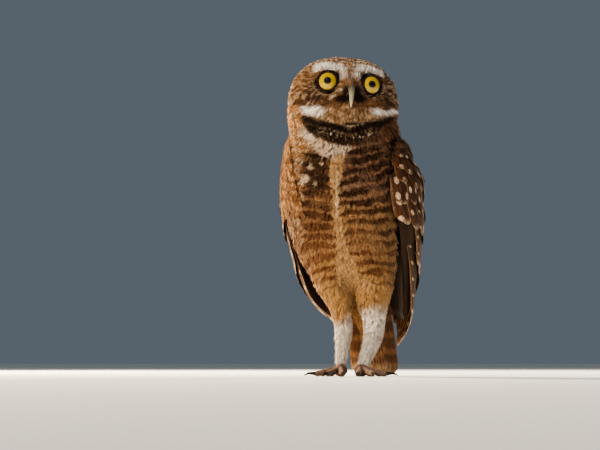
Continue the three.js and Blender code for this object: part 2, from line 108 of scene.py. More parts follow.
class OwlColours(bpy.types.PropertyGroup):
    """Colours of the plumage, the eyes, the horn and the stage"""

    white: colour("White", "Brows, throat and shanks", "f2e6d8")
    cream: colour("Cream", "Spots and pale fringes", "dcc4a4")
    buff: colour("Buff", "Belly, chin and thighs", "aa8152")
    fawn: colour("Fawn", "Between the bars of the breast", "97714c")
    ash: colour("Ash brown", "Between the bars high on the breast", "957662")
    tawny: colour("Tawny", "Warm streaks of the neck and flanks", "a8703f")
    rust: colour("Rust", "Bars of the belly", "70472a")
    brown: colour("Brown", "Crown, back and wings", "5c3a22")
    dark: colour("Dark brown", "Bars of the breast", "3c2415")
    black: colour("Black brown", "Collar and rim of the eye", "1d120b")
    iris: colour("Iris", "Coloured ring of the eye", "c4a400")
    horn: colour("Horn", "Bill", "a39c82")
    toe: colour("Toe", "Bare skin of the toes", "8b7262")
    claw: colour("Claw", "Horn of the claws", "2a2320")
    floor: colour("Floor", "Plain floor", "c9c8c4")
    backdrop: colour("Backdrop", "Plain backdrop", "5d666e")


# Driving sizes of the body, the same as in its solids

HEAD_CENTRE = np.array([1, -5, 203.5])
HEAD = dict(turned=8, raised=4, tipped=3.5, wide=42, front=31, back=37, up=36.5, down=60, squareness=2.35)
FACE = [  # swellings and hollows: towards, how far out, how wide
    ((17, -26, 12), -3, 0.27),
    ((17, -24, 25), 2.8, 0.22),
    ((7.5, -28, 23), 2.6, 0.22),
    ((32, -17, 12), -0.8, 0.3),
    ((20, -26, -8), 2, 0.32),
    ((4, -31, 3), 2.2, 0.2),
]
CHIN = ((0, -29, -13), 2.0, 0.34)
EYE = dict(ball=9.2, side=17.1, height=12.2, sunk=5.9, outward=18, lift=2, cornea=0.9, spread=0.75)
GAZE = dict(left=(-0.19, 0, -0.04), right=(0.09, 0, -0.04))  # how an eyeball is turned from its seat's way
LID = dict(inner=6.7, outer=7.5, rim=7.2, skirt=8.4)
EYE_OPENING = 6.5  # how far from an eye's middle the feathers begin
UPPER_BILL = [
    (0, -25, 10.5), (0, -31.5, 10), (0, -35.5, 6), (0, -37.4, 0.5), (0, -37.6, -4.5), (0, -36.6, -8.6)
]
LOWER_BILL = [(0, -25, 1.5), (0, -30.5, 0.2), (0, -33.4, -2.4), (0, -34.8, -5.4)]
TRUNK = [  # height, centre x and y, half width and half depth
    (58, 12, 29, 9, 12),
    (66, 11.5, 26, 23, 21),
    (76, 9.5, 21, 33, 28),
    (90, 6, 15, 39, 33.5),
    (110, 3, 9, 43, 36.5),
    (130, 0.5, 5, 44.5, 37.5),
    (150, 0, 2, 44.3, 37),
    (171, 1.5, -1, 43.3, 35.5),
    (187, 2.6, -3.3, 41.8, 34.6),
    (205, 2, -4, 40, 34),
]
SQUARENESS = 2.1
# A wing's flank has levels as the trunk's. Its lie has heights, how far it stands off there, and the angles
# of its front and back edge
WINGS = {
    "left": dict(
        side=1,
        fullest=0.75,
        flank=[(23, 15, 42, 26, 13), (35, 14, 38, 31, 18), (50, 12, 31, 35, 25), (70, 10, 23, 35.5, 30)],
        lie=[
            (23, 4.4, 101, 128), (35, 8, 91, 143), (50, 10, 84, 153), (70, 13.5, 75, 160), (90, 15, 66, 164),
            (110, 14.3, 57, 165), (120, 15.4, 53, 164), (130, 14.2, 51, 162), (148, 14.6, 49, 155),
            (165, 5.3, 53, 142), (177, 0.5, 60, 125),
        ],
    ),
    "right": dict(
        side=-1,
        fullest=1.3,
        flank=[
            (23, 17, 38, 9, 14), (35, 15.5, 36, 14.5, 17.5), (43, 14, 33, 17.5, 21), (50, 13, 31, 25.5, 24),
            (61, 12, 27, 33.5, 28), (76, 9.5, 21.5, 38, 31),
        ],
        lie=[
            (23, 3, 100, 140), (35, 5, 97, 146), (43, 6, 94, 150), (50, 7, 92, 153), (61, 8.5, 90, 160),
            (76, 9.5, 90, 164), (95, 9, 91, 167), (110, 8, 94, 168), (130, 6, 98, 165), (148, 4, 98, 156),
            (165, 1.5, 99, 144), (177, 0, 101, 132),
        ],
    ),
}
WING = dict(top=177, core_end=44, inner=0.9, edge=3, fullness=0.7, clear=8)
SHELF = [(40, 5.6), (60, 5), (80, 4.2), (100, 3.1), (120, 2), (140, 1.2), (177, 0.3)]
TAIL = dict(
    root=(15.5, 39, 80), tip=(29.5, 55.5, 0), turned=20, bow=4, root_spread=22, tip_spread=27, aside=4,
    vane=12.5, run=82, bars=13,
)
RUMP = dict(wide=15.5, deep=9)
HEEL = 36
LEG_TOP, NECK_LOW = 66, 168  # heights where the feathers of the legs end and those of the neck begin
FEET = {  # where each stands, which way it is turned, each toe's angle and length
    "left": dict(x=14.2, y=-5, turned=4, toes=[(-13, 17), (15, 19), (64, 15), (172, 9)]),
    "right": dict(x=-1.4, y=2.5, turned=-5, toes=[(8, 17), (-20, 19), (-66, 15), (-172, 9)]),
}
FOOT = dict(palm=5.4, palm_height=4.6, toe=2.5, toe_tip=2, pad=0.45, low=1.9)
CLAW = dict(length=9.5, thick=1.45, tip=0.3, rise=2.3, down=0.45)
# Where the camera stands and looks, and how wide its view is at the owl
CAMERA = dict(at=(-31.7, -1300, 10), aim=(-31.7, 0, 114), wide=453)


# Small sums


def unit(v):
    return v / np.maximum(np.linalg.norm(v, axis=-1, keepdims=True), 1e-9)


def mix(a, b, share):
    return a + (b - a) * share


def smooth(low, high, x):
    t = np.clip((x - low) / (high - low), 0, 1)
    return t * t * (3 - 2 * t)


def cubic(a, b, slope_a, slope_b, t):
    """A curve from a to b that leaves and ends with the slopes given."""
    return (
        a * (2 * t**3 - 3 * t**2 + 1)
        + slope_a * (t**3 - 2 * t**2 + t)
        + b * (3 * t**2 - 2 * t**3)
        + slope_b * (t**3 - t**2)
    )


def through(rows):
    """Joins rows of numbers, each led by where it stands, by smooth curves; returns the values at places."""
    rows = np.asarray(rows, float)
    at, values = rows[:, 0], rows[:, 1:]
    n = np.arange(len(at))
    before, after = np.maximum(n - 1, 0), np.minimum(n + 1, len(at) - 1)
    slopes = (values[after] - values[before]) / (at[after] - at[before])[:, None]

    def curve(where):
        where = np.clip(np.asarray(where, float), at[0], at[-1])
        i = np.clip(np.searchsorted(at, where, side="right") - 1, 0, len(at) - 2)
        span = (at[i + 1] - at[i])[..., None]
        t = (where - at[i])[..., None] / span
        return cubic(values[i], values[i + 1], slopes[i] * span, slopes[i + 1] * span, t)

    return curve


def evenly(spots):
    """A smooth curve through spots that lie at equal steps from 0 to 1."""
    return through(np.column_stack([np.arange(len(spots)) / (len(spots) - 1), spots]))


def side_by_side(*values):
    return np.stack(np.broadcast_arrays(*values), -1)


def with_fourth(tones, fourth):
    """Colours kept from 0 to 1, with a fourth value beside them."""
    return np.concatenate([tones.clip(0, 1), np.broadcast_to(fourth, tones.shape[:-1])[..., None]], -1)


def turn(axis, angle):
    return np.array(Matrix.Rotation(radians(angle), 3, axis))


RIPPLES = np.random.default_rng(SEED).normal(size=(7, 3))


def ripple(p, scale):
    """A smooth uneven field from about -1 to 1, whose swells are about so many millimetres across."""
    waves = unit(RIPPLES) * (1 + 0.3 * RIPPLES[:, :1]) * 2 * pi / scale / 1.6
    return np.sin(p @ waves.T + 9 * RIPPLES[:, 1]).sum(-1) / 3


# The head and eyes in the owl's frame

HEAD_TURN = turn("Z", HEAD["turned"]) @ turn("X", -HEAD["raised"]) @ turn("Y", HEAD["tipped"])


def on_head(q):
    return np.asarray(q, float) @ HEAD_TURN.T + HEAD_CENTRE


def in_head(p):
    return (p - HEAD_CENTRE) @ HEAD_TURN


def head_reach(towards):
    ahead, above = "front" if towards[1] < 0 else "back", "up" if towards[2] > 0 else "down"
    axes = np.array([HEAD["wide"], HEAD[ahead], HEAD[above]])
    n = HEAD["squareness"]
    reach = (np.abs(towards / axes) ** n).sum() ** (-1 / n)
    mirrored = [((-x, y, z), out, wide) for (x, y, z), out, wide in FACE]
    for at, out, wide in [*FACE, *mirrored, CHIN]:
        angle = np.arccos(np.clip(unit(np.array(at, float)) @ towards, -1, 1))
        reach += out * np.exp(-((angle / wide) ** 2))
    return reach


def eye_seat(side):
    """The middle of an eyeball and the way that it looks, in the owl's frame."""
    towards = unit(np.array([side * EYE["side"], -26, EYE["height"]]))
    looks = turn("Z", side * EYE["outward"]) @ unit(np.array([0, -1, tan(radians(EYE["lift"]))]))
    centre = towards * head_reach(towards) - looks * EYE["sunk"]
    return on_head(centre), HEAD_TURN @ looks


EYES = {"left": eye_seat(1), "right": eye_seat(-1)}


def node_points(name):
    mesh = frame["nodes"][name].data
    flat = np.empty(len(mesh.vertices) * 3, np.float32)
    mesh.vertices.foreach_get("co", flat)
    return flat.reshape(-1, 3) / MM


def find_shift():
    """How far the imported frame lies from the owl's own, by the foremost point of an eye."""
    centre, looks = EYES["left"]
    points = node_points("eye_left")
    front = points[np.argmax(points @ looks)]
    shift = front - (centre + looks * (EYE["ball"] + EYE["cornea"]))
    return np.array([shift[0], shift[1], 0])


SHIFT = find_shift()


def packed(p):
    return (p + SHIFT) * MM


def seen(p):
    """Where a point is seen from the front, as x and height on a plane through the owl."""
    x0, y0, z0 = CAMERA["at"]
    scale = -y0 / (p[..., 1] - y0)
    return x0 + (p[..., 0] - x0) * scale, z0 + (p[..., 2] - z0) * scale


# Making and marking pieces


def deselect():
    for ob in bpy.context.view_layer.objects.selected:
        ob.select_set(False)


def make_active(piece):
    deselect()
    piece.select_set(True)
    bpy.context.view_layer.objects.active = piece


def new_piece(name, mesh):
    piece = bpy.data.objects.new(name, mesh)
    bpy.context.scene.collection.objects.link(piece)
    return piece


def finished(piece, slot, material, *nodes):
    """Gives a piece its material and its body, and hides the nodes that it stands for; its slot is not used.
    """
    piece.data.materials.clear()
    piece.data.materials.append(material)
    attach(piece, "root")
    if nodes:
        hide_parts(*nodes)
    return piece


def apply_modifier(piece, kind, **settings):
    make_active(piece)
    modifier = piece.modifiers.new(kind, kind)
    for key, value in settings.items():
        setattr(modifier, key, value)
    bpy.ops.object.modifier_apply(modifier=modifier.name)


def net_mesh(name, points, faces):
    mesh = bpy.data.meshes.new(name)
    mesh.from_pydata(packed(points).tolist(), [], faces)
    mesh.polygons.foreach_set("use_smooth", [True] * len(mesh.polygons))
    mesh.update()
    return mesh


def set_attribute(mesh, name, kind, values):
    attribute = mesh.attributes.new(name, kind, "POINT")
    key = "color" if kind == "FLOAT_COLOR" else "vector"
    attribute.data.foreach_set(key, values.astype(np.float32).ravel())


def mesh_array(mesh, items, key, size, kind=np.float32):
    flat = np.empty(len(getattr(mesh, items)) * size, kind)
    getattr(mesh, items).foreach_get(key, flat)
    return flat.reshape(-1, size)


def ring_faces(joins, rows, around):
    """The quads from each row of points to the next, for so many joins between rows."""
    faces = []
    for row in range(joins):
        this, other = row * around, (row + 1) % rows * around
        for k in range(around):
            j = (k + 1) % around
            faces.append((this + k, this + j, other + j, other + k))
    return faces


def outward(mesh):
    """Turns the faces of a closed mesh outwards."""
    bm = bmesh.new()
    bm.from_mesh(mesh)
    bmesh.ops.recalc_face_normals(bm, faces=bm.faces)
    bm.to_mesh(mesh)
    bm.free()
    return mesh


def rings(name, centres, across, up, radii, around, shape=None):
    """A closed body through rings: centres, two axes across them and the radii along those."""
    angle = 2 * pi * np.arange(around) / around
    c, s = np.cos(angle)[None, :, None], np.sin(angle)[None, :, None]
    across, up = (np.broadcast_to(axis, centres.shape)[:, None] for axis in (across, up))
    wide, high = (radius[:, None, None] for radius in radii)
    points = centres[:, None] + across * (c * wide) + up * (s * high)
    if shape is not None:
        points = shape(points)
    rows = len(centres)
    ends = rows * around
    last = ends - around
    flat = np.concatenate([points.reshape(-1, 3), centres[:1], centres[-1:]])
    faces = ring_faces(rows - 1, rows, around)
    for k in range(around):
        j = (k + 1) % around
        faces.append((j, k, ends))
        faces.append((last + k, last + j, ends + 1))
    return outward(net_mesh(name, flat, faces))


# Skin

FLESH = ["head", "neck", "torso", "thigh_left", "thigh_right", "shank_left", "shank_right"]
BILLS = ["bill_upper", "bill_lower"]
CLOSING = 0.45  # how far the nodes swell, to close the gaps between them
SKIN_VOXEL = 1.4


def coat_depth(p):
    """How deep the coat lies over the skin at points of the body."""
    sizes = bpy.context.scene.owl_sizes
    z = p[..., 2]
    q = in_head(p)
    face = np.exp(-((q[..., 0] / 30) ** 4) - ((q[..., 2] - 6) / 22) ** 4) * smooth(-6, -18, q[..., 1])
    on_the_head = mix(sizes.head_coat, sizes.face_coat, face)
    leg, body = sizes.thigh_coat, sizes.body_coat
    levels = [HEEL - 4, HEEL + 6, HEEL + 14, 78, 92, 165, 182]
    depths = [sizes.shank_coat, 0.7 * leg, leg, 0.9 * body, body, body, sizes.neck_coat]
    on_the_body = np.interp(z, levels, depths)
    return mix(on_the_body, on_the_head, smooth(182, 194, z)) / MM


TAIL_ACROSS = np.array([cos(radians(TAIL["turned"])), -sin(radians(TAIL["turned"])), 0])
TAIL_RUN = np.array(TAIL["tip"]) - np.array(TAIL["root"])
TAIL_BACK = -unit(np.cross(TAIL_RUN, TAIL_ACROSS))


def tail_point(share, aside, behind):
    share, aside, behind = (np.asarray(x, float)[..., None] for x in (share, aside, behind))
    bowed = behind + TAIL["bow"] * np.sin(pi * share) - aside**2 / 90
    return np.array(TAIL["root"]) + TAIL_RUN * share + TAIL_ACROSS * aside + TAIL_BACK * bowed


def rump_mesh():
    share = np.linspace(0, 1, 14)
    centres = tail_point(share * 0.72 - 0.02, 0 * share, 0 * share - 2.5)
    closing = np.sin(pi * (0.28 + 0.72 * share * 0.97)) ** 0.6
    radii = (RUMP["wide"] * closing, RUMP["deep"] * closing)
    return rings("rump", centres, TAIL_ACROSS, TAIL_BACK, radii, 28)


def make_skin():
    """One skin over head, neck, trunk, rump and legs, inside their outline by the depth of the coat."""
    bm = bmesh.new()
    for name in [*FLESH, *BILLS]:
        bm.from_mesh(frame["nodes"][name].data)
    bm.from_mesh(rump_mesh())
    bmesh.ops.remove_doubles(bm, verts=bm.verts, dist=0.005 * MM)
    bm.normal_update()
    for vertex in bm.verts:
        vertex.co += vertex.normal * CLOSING * MM
    mesh = bpy.data.meshes.new("skin")
    bm.to_mesh(mesh)
    bm.free()
    skin = new_piece("skin", mesh)
    apply_modifier(skin, "REMESH", mode="VOXEL", voxel_size=SKIN_VOXEL * MM)
    apply_modifier(skin, "SMOOTH", factor=0.6, iterations=5)
    mesh = skin.data
    points = mesh_array(mesh, "vertices", "co", 3) / MM - SHIFT
    normals = mesh_array(mesh, "vertices", "normal", 3)
    points -= normals * (coat_depth(points) + CLOSING)[:, None]
    mesh.vertices.foreach_set("co", packed(points).astype(np.float32).ravel())
    apply_modifier(skin, "REMESH", mode="VOXEL", voxel_size=SKIN_VOXEL * MM)
    apply_modifier(skin, "SMOOTH", factor=0.5, iterations=4)
    apply_modifier(skin, "TRIANGULATE")
    skin.data.polygons.foreach_set("use_smooth", [True] * len(skin.data.polygons))
    return skin


SCATTER_TRIES = 5  # places tried for each feather that there is room for
CLOSEST_PACKING = 0.87  # the area that a feather takes, over its spacing squared


class Ground:
    """The skin as arrays in the owl's frame, to grow feathers on."""

    def __init__(self, skin):
        mesh = skin.data
        self.points = (mesh_array(mesh, "vertices", "co", 3) / MM - SHIFT).astype(float)
        self.normals = mesh_array(mesh, "vertices", "normal", 3).astype(float)
        self.triangles = mesh_array(mesh, "polygons", "vertices", 3, np.int32)
        corners = self.points[self.triangles]
        spans = np.cross(corners[:, 1] - corners[:, 0], corners[:, 2] - corners[:, 0])
        self.areas = np.linalg.norm(spans, axis=1) / 2
        self.middles = corners.mean(1)
        self.tree = BVHTree.FromPolygons(self.points.tolist(), self.triangles.tolist())

    def scatter(self, spacing, wanted, rng):
        """Places on the skin at least so far apart, where wanted says, with the skin's normals there."""
        weight = self.areas * wanted(self.middles)
        count = int(SCATTER_TRIES * weight.sum() / (CLOSEST_PACKING * spacing**2))
        faces = rng.choice(len(weight), count, p=weight / weight.sum())
        a, b = rng.random((2, count, 1))
        over = a + b > 1
        a, b = np.where(over, 1 - a, a), np.where(over, 1 - b, b)
        first, second, third = self.triangles[faces].T
        blend = lambda values: values[first] * (1 - a - b) + values[second] * a + values[third] * b
        places, normals = blend(self.points), unit(blend(self.normals))
        cells = np.floor(places / spacing).astype(int).tolist()
        kept, taken = [], {}
        near = [(i, j, k) for i in (-1, 0, 1) for j in (-1, 0, 1) for k in (-1, 0, 1)]
        rows = places.tolist()
        limit = spacing**2
        for n, (x, y, z) in enumerate(rows):
            i, j, k = cells[n]
            free = True
            for di, dj, dk in near:
                for m in taken.get((i + di, j + dj, k + dk), ()):
                    px, py, pz = rows[m]
                    if (px - x) ** 2 + (py - y) ** 2 + (pz - z) ** 2 < limit:
                        free = False
                        break
                if not free:
                    break
            if free:
                taken.setdefault((i, j, k), []).append(n)
                kept.append(n)
        return places[kept], normals[kept]

    def nearest(self, places):
        found = [self.tree.find_nearest(place) for place in places.tolist()]
        spots = np.array([tuple(hit[0]) for hit in found])
        corner = self.triangles[[hit[2] for hit in found]]
        return spots, unit(self.normals[corner].mean(1))


def unwrap(p, on_leg=None):
    """The skin's own unwrap: round the body and up it, the top of the head as a cap, a strip for each leg."""
    x, y, z = p[..., 0], p[..., 1], p[..., 2]
    middle = through(TRUNK)(z)
    round_body = np.arctan2(x - middle[..., 0], -(y - middle[..., 1])) / (2 * pi) + 0.5
    q = in_head(p)
    rise = np.degrees(np.arctan2(z - 200, np.hypot(q[..., 0], q[..., 1]))) / 90
    high = np.where(z > 200, 0.78 + 0.2 * rise, 0.78 * (z - 55) / 145)
    if on_leg is None:
        on_leg = z < LEG_TOP
    left = x > 10.5
    leg_x = np.where(left, 23, -3)
    round_leg = np.arctan2(x - leg_x, -(y - 11)) / (2 * pi) + 0.5
    u = np.where(on_leg, 0.8 + 0.1 * left + 0.09 * round_leg, 0.78 * round_body)
    v = np.where(on_leg, z / 70, high)
    return np.stack([u, v], -1)


# Markings of the plumage


def palette():
    colours = bpy.context.scene.owl_colours
    return {key: np.array(getattr(colours, key)) for key in OwlColours.__annotations__}


def over(base, tint, weight):
    return base + (tint - base) * np.clip(weight, 0, 1)[..., None]


# Single marks, as x and height seen from the front, and some with a size
BREAST_SPOTS = [(-23.6, 158.4, 2.4), (-28.5, 148.8, 3.8), (-31, 162, 2), (-16, 160, 1.5), (-20, 145, 1.8)]
THIGH_SPOTS = [(26.5, 63), (25, 57), (-17.5, 62)]
BROW_SMUDGES = [(-2.8, 228.6), (16.4, 227.6)]
EYES_SEEN = {"right": (-11.1, 224.2), "left": (23.6, 222.2)}
BILL_SEEN = 7.6
# How warm and how light the dark collar is, by the depth under the chin's edge
COLLAR_DEPTHS = [-1, 1.2, 2.4, 4.8, 6, 7.4, 8.2, 9.5, 11, 13]
COLLAR_WARMTH = [0.9, 0.8, 0.1, 0, 0.8, 0.9, 0.2, 0.8, 0.2, 0.5]
COLLAR_LINES = [0, 0.8, 1.6, 6.5, 7.3, 8, 10, 10.7, 11.4]
COLLAR_LIGHT = [0.7, 0.3, 0, 0, 0.35, 0, 0, 0.6, 0]


def blob(u, v, at_u, at_v, wide, high, edge=0.25):
    """1 inside a soft-edged ellipse and 0 outside it."""
    return smooth(1 + edge, 1 - edge, np.hypot((u - at_u) / wide, (v - at_v) / high))


def bearing(p):
    """The angle round the trunk in degrees, 0 at the breast and positive to the owl's left."""
    middle = through(TRUNK)(p[..., 2])
    return np.degrees(np.arctan2(p[..., 0] - middle[..., 0], -(p[..., 1] - middle[..., 1])))


def chin_line(u):
    """The height of the chin's lower edge, as seen from the front."""
    return 190.3 + 0.27 * (np.sqrt((u - 7) ** 2 + 25) - 5)


def breast_marks(c, p, u, v, uneven, broad):
    """Breast and belly: dark bars, nearly solid high up, warmer and thinner further down."""
    period = bpy.context.scene.owl_sizes.bar_period / MM
    ground = over(c["buff"], c["fawn"], 0.4 + 0.6 * smooth(78, 100, v))
    ground = over(ground, c["ash"], smooth(122, 150, v) * smooth(-14, 4, u))
    ground = over(ground, c["brown"], 0.65 * smooth(122, 160, v))
    marking = over(c["rust"], c["brown"], smooth(92, 114, v + 4 * uneven))
    marking = over(marking, c["dark"], smooth(114, 140, v + 4 * uneven))
    rise_left = np.interp(v, [80, 100, 125], [-0.3, 0, 0.18]) * (-4 - u)
    rise_right = np.interp(v, [80, 110, 150], [-0.02, 0.03, 0.24]) * (u + 4)
    wander = 1.1 * uneven + 0.8 * broad + 0.55 * ripple(p, 4.5)
    phase = (v - np.where(u > -4, 71.3 + rise_right, 68.3 + rise_left) + wander) / period
    share = np.interp(v, [56, 64, 76, 92, 120, 150, 172], [0, 0.25, 0.46, 0.52, 0.55, 0.66, 0.74])
    share = share + 0.08 * broad + 0.13 * ripple(p + 7, 7)
    low_left = smooth(-7, -12, u) * smooth(88, 100, v) * smooth(150, 138, v)
    share, ground = share + 0.24 * low_left, over(ground, c["brown"], 0.4 * low_left)
    levels = [58, 69, 78, 97, 116, 135, 155, 170]
    left_edge = np.interp(v, levels, [-4, -4.6, -5.6, -4.3, -5.6, -8.2, -9.4, -10.7])
    right_edge = np.interp(v, levels, [33, 24, 13, 4.7, 0.9, -3, 0.8, 2.1])
    marking = over(marking, ground, 0.5 * smooth(0.1, 0.9, ripple(p + 50, 12)))
    # A plain stripe runs down the middle, and spreads between the thighs
    plain = smooth(-2.2, 1.8, u - left_edge + uneven) * smooth(2.2, -1.8, u - right_edge + uneven)
    palest = blob(u + 0.01 * (v - 138), v, -3.6, 138, 0.9, 16, 0.5)
    stripe = over(c["buff"], c["cream"], 0.6 * palest + 0.1)
    ground = over(ground, stripe, plain)
    share = share * (1 - plain)
    # The flank is warm and pale along its edge, and warm beside the other wing
    edge = smooth(-25, -33, u + 1.5 * uneven) * smooth(92, 108, v)
    fleck = smooth(-0.3, 0.9, np.sin(1.5 * u + 1.1 * v + 4 * uneven))
    warm = mix(c["tawny"], c["brown"], 0.3) * 0.85
    ground = over(ground, over(warm, c["cream"], 0.62 * fleck), 0.8 * edge)
    ground = over(ground, c["brown"], 0.75 * edge * smooth(0.1, 0.8, ripple(p + 3, 5) - 0.3 * fleck))
    share = share * (1 - 0.85 * edge)
    ground = over(ground, c["tawny"], 0.45 * blob(u + 3 * broad, v, 31, 150, 7, 16, 0.9))
    # A dark patch high on one side of the breast, with blurred pale spots
    patch = blob(u, v, -20.5 + 0.8 * uneven, 156, 10.5, 18, 0.3) * (1 - plain)
    ground = over(ground, c["dark"], 0.92 * patch)
    marking = over(marking, c["black"], 0.3 * patch)
    for at_u, at_v, size in BREAST_SPOTS:
        spot = blob(u + 0.6 * uneven, v, at_u, at_v, size, size, 0.45)
        ground = over(ground, c["cream"], 0.6 * spot)
        share = share * (1 - spot)
    return ground, marking, phase, share


def neck_marks(c, u, v, ahead, fine, uneven):
    """The neck's colour and how much it covers: a white throat, a dark collar over it, a streaky side."""
    depth = chin_line(u) - v
    collar_low = 175 + 0.014 * (u - 2) ** 2
    throat_low = 164.6 + 1.0 * np.maximum(0, -15 - u) + 0.8 * np.maximum(0, u - 1.5)
    throat = smooth(-2.5, 2.5, v - throat_low + 1.6 * uneven + 0.8 * fine)
    throat = throat * smooth(-34, -28, u) * smooth(14, 3, u) * ahead
    throat = throat * smooth(1.5, -1.5, v - collar_low)
    streaky = np.sin(3.4 * u + 0.9 * v + 4 * uneven) + 0.7 * fine
    side = over(c["tawny"], c["buff"], 0.4 + 0.4 * uneven)
    side = over(side, c["cream"], 0.75 * smooth(0.1, 1.2, streaky))
    side = over(side, c["brown"], 0.8 * smooth(0.1, 1.2, -streaky))
    far_side = over(c["brown"], c["rust"], 0.5 + 0.4 * uneven)
    side = over(side, far_side, smooth(10, 22, u))
    covers = np.maximum(smooth(-19, -27, u), smooth(26, 34, u)) * smooth(160, 174, v - 0.3 * np.maximum(u, 0))
    colour = over(side, over(mix(c["cream"], c["ash"], 0.4), c["white"], 0.1 + 0.2 * uneven), throat)
    warm = np.interp(depth + 0.9 * uneven, COLLAR_DEPTHS, COLLAR_WARMTH)
    light = np.interp(depth + 0.9 * uneven, COLLAR_LINES, COLLAR_LIGHT)
    lines = np.sin(3.1 * depth + 0.8 * uneven)
    pale_lines = 0.12 * smooth(0.75, 1, lines) * smooth(4.5, 6, depth)
    arcs = over(c["black"], c["rust"], warm * (0.3 + 0.35 * lines))
    arcs = over(arcs, c["cream"], light * (0.75 + 0.25 * fine) + pale_lines)
    arcs = over(arcs, c["black"], 0.8 * (blob(u, v, -25, 187, 7, 5, 0.5) + blob(u, v, 32, 190, 8, 6, 0.5)))
    collar = smooth(-1.5, 1.5, v - collar_low + 1.2 * uneven) * smooth(1, -1, -depth - 0.4 * uneven) * ahead
    collar = collar * np.maximum(smooth(-34, -28, u), 0.25)
    colour = over(colour, arcs, collar)
    return colour, np.clip(np.maximum(np.maximum(covers * ahead, throat), collar), 0, 1)


def face_marks(c, u, v, q, fine, uneven, broad):
    """The face's colour: white brows and cheeks, buff chin, streaked sides, and black painted shadow at both
    sides of the bill.
    """
    hx, hz = np.abs(q[..., 0]), q[..., 2]
    chin_tone = over(mix(c["fawn"], c["brown"], 0.25), c["cream"], 0.12 + 0.2 * fine)
    cheek = smooth(14, 24, np.abs(u - 5)) * smooth(-34.5, -27, u + 3 * fine) * smooth(195, 200, v)
    chin_tone = over(chin_tone, c["white"], cheek)
    chin_tone = over(chin_tone, over(chin_tone, c["tawny"], 0.5 + 0.4 * fine), smooth(-30, -34, u))
    face = over(c["fawn"], c["brown"], 0.4 + 0.3 * broad + 0.4 * smooth(14, 30, u))
    eye_u, eye_v = (np.where(u > 6, *pair) for pair in zip(EYES_SEEN["left"], EYES_SEEN["right"]))
    from_eye = np.hypot(u - eye_u, v - eye_v)
    outwards = np.where(u > 6, u - eye_u, eye_u - u)
    spoke = np.degrees(np.arctan2(v - eye_v, outwards))
    rays = np.sin(np.radians(spoke) * 25 + 2.6 * uneven + 1.6 * fine)
    ray_part = smooth(9, 12, from_eye) * smooth(78, 45, np.abs(spoke + 8))
    face = over(face, c["cream"], 0.4 * ray_part * smooth(0.2, 1.2, -rays + 0.4 * broad))
    face = over(face, c["dark"], 0.75 * ray_part * smooth(-0.2, 1.1, rays + 0.5 * broad))
    outer_corners = 0.7 * blob(u, v, -20.5, 210.5, 6, 2.6, 0.7) + 0.5 * blob(u, v, 33, 208, 5, 4, 0.7)
    face = over(face, c["dark"], outer_corners)
    below = smooth(13, 9, from_eye) * smooth(1, -4, v - eye_v) * smooth(-7, 2, outwards)
    face = over(face, over(c["ash"], c["cream"], 0.25 + 0.5 * fine), 0.8 * below)
    chin_top = 204.2 + 0.06 * np.maximum(-14 - u, 0) - 0.003 * (u - 6) ** 2 * (u > 6)
    face = over(face, chin_tone, smooth(1.3, -1.3, v - chin_top + 0.9 * uneven))
    # Olive brown round the bill, with pale whiskers across it, and black painted shadow at both sides of the
    # bill
    beside = np.abs(u - BILL_SEEN)
    lores = blob(beside, v, 0, 213.5, 10.5, 8, 0.35) * smooth(203, 206, v)
    face = over(face, over(c["brown"], c["fawn"], 0.5 + 0.5 * fine), 0.85 * lores)
    whisker = smooth(2.6, 0.8, np.abs((v - 220) + 0.82 * (beside - 5.5)))
    whisker = whisker * smooth(4.5, 6, beside) * smooth(19, 15, beside)
    face = over(face, c["cream"], whisker * np.where(u < 7, 0.85, 0.4) * (0.6 + 0.6 * fine))
    bill_side_shadow = blob(beside, v + 0.12 * beside, 5.5, 211.2, 7.5 - 1.2 * (u > 7), 3.4, 0.3)
    bill_side_shadow = np.maximum(bill_side_shadow, blob(beside, v, 3.6, 215, 3.6, 6.5, 0.45))
    face = over(face, c["black"], 0.97 * bill_side_shadow)
    face = over(face, c["dark"], 0.6 * blob(u, v, 8, 203.3, 2.4, 1.5, 0.6) * smooth(-0.4, 0.6, fine))
    # White brows and forehead, with a warm streak up the middle, and a dark smudge inside each brow
    above_eye = smooth(8.0, 9.4, hz - 12.2 + 0.02 * (hx - 17) ** 2) * smooth(28.5, 25, hx)
    between = smooth(10.5, 8.5, hx) * smooth(12.5, 16, hz)
    brow = np.maximum(above_eye, between) * smooth(29.5, 26, hz + 0.9 * uneven) * smooth(-12, -17, q[..., 1])
    brow_tone = over(c["white"], c["fawn"], 0.55 * smooth(8, 3, hx) + 0.25 * fine)
    face = over(face, brow_tone, 0.95 * brow)
    streak = blob(hx, hz, 0, 20.5, 1.9, 4.5, 0.4)
    face = over(face, c["rust"], 0.75 * streak * (0.7 + 0.5 * fine))
    for at_u, at_v in BROW_SMUDGES:
        face = over(face, c["dark"], 0.85 * blob(u, v, at_u, at_v, 1.9, 4.2, 0.5))
    face = over(face, c["dark"], 0.5 * smooth(8.4, 7.4, from_eye) * (1 - brow) * smooth(-4, 3, v - eye_v))
    return face


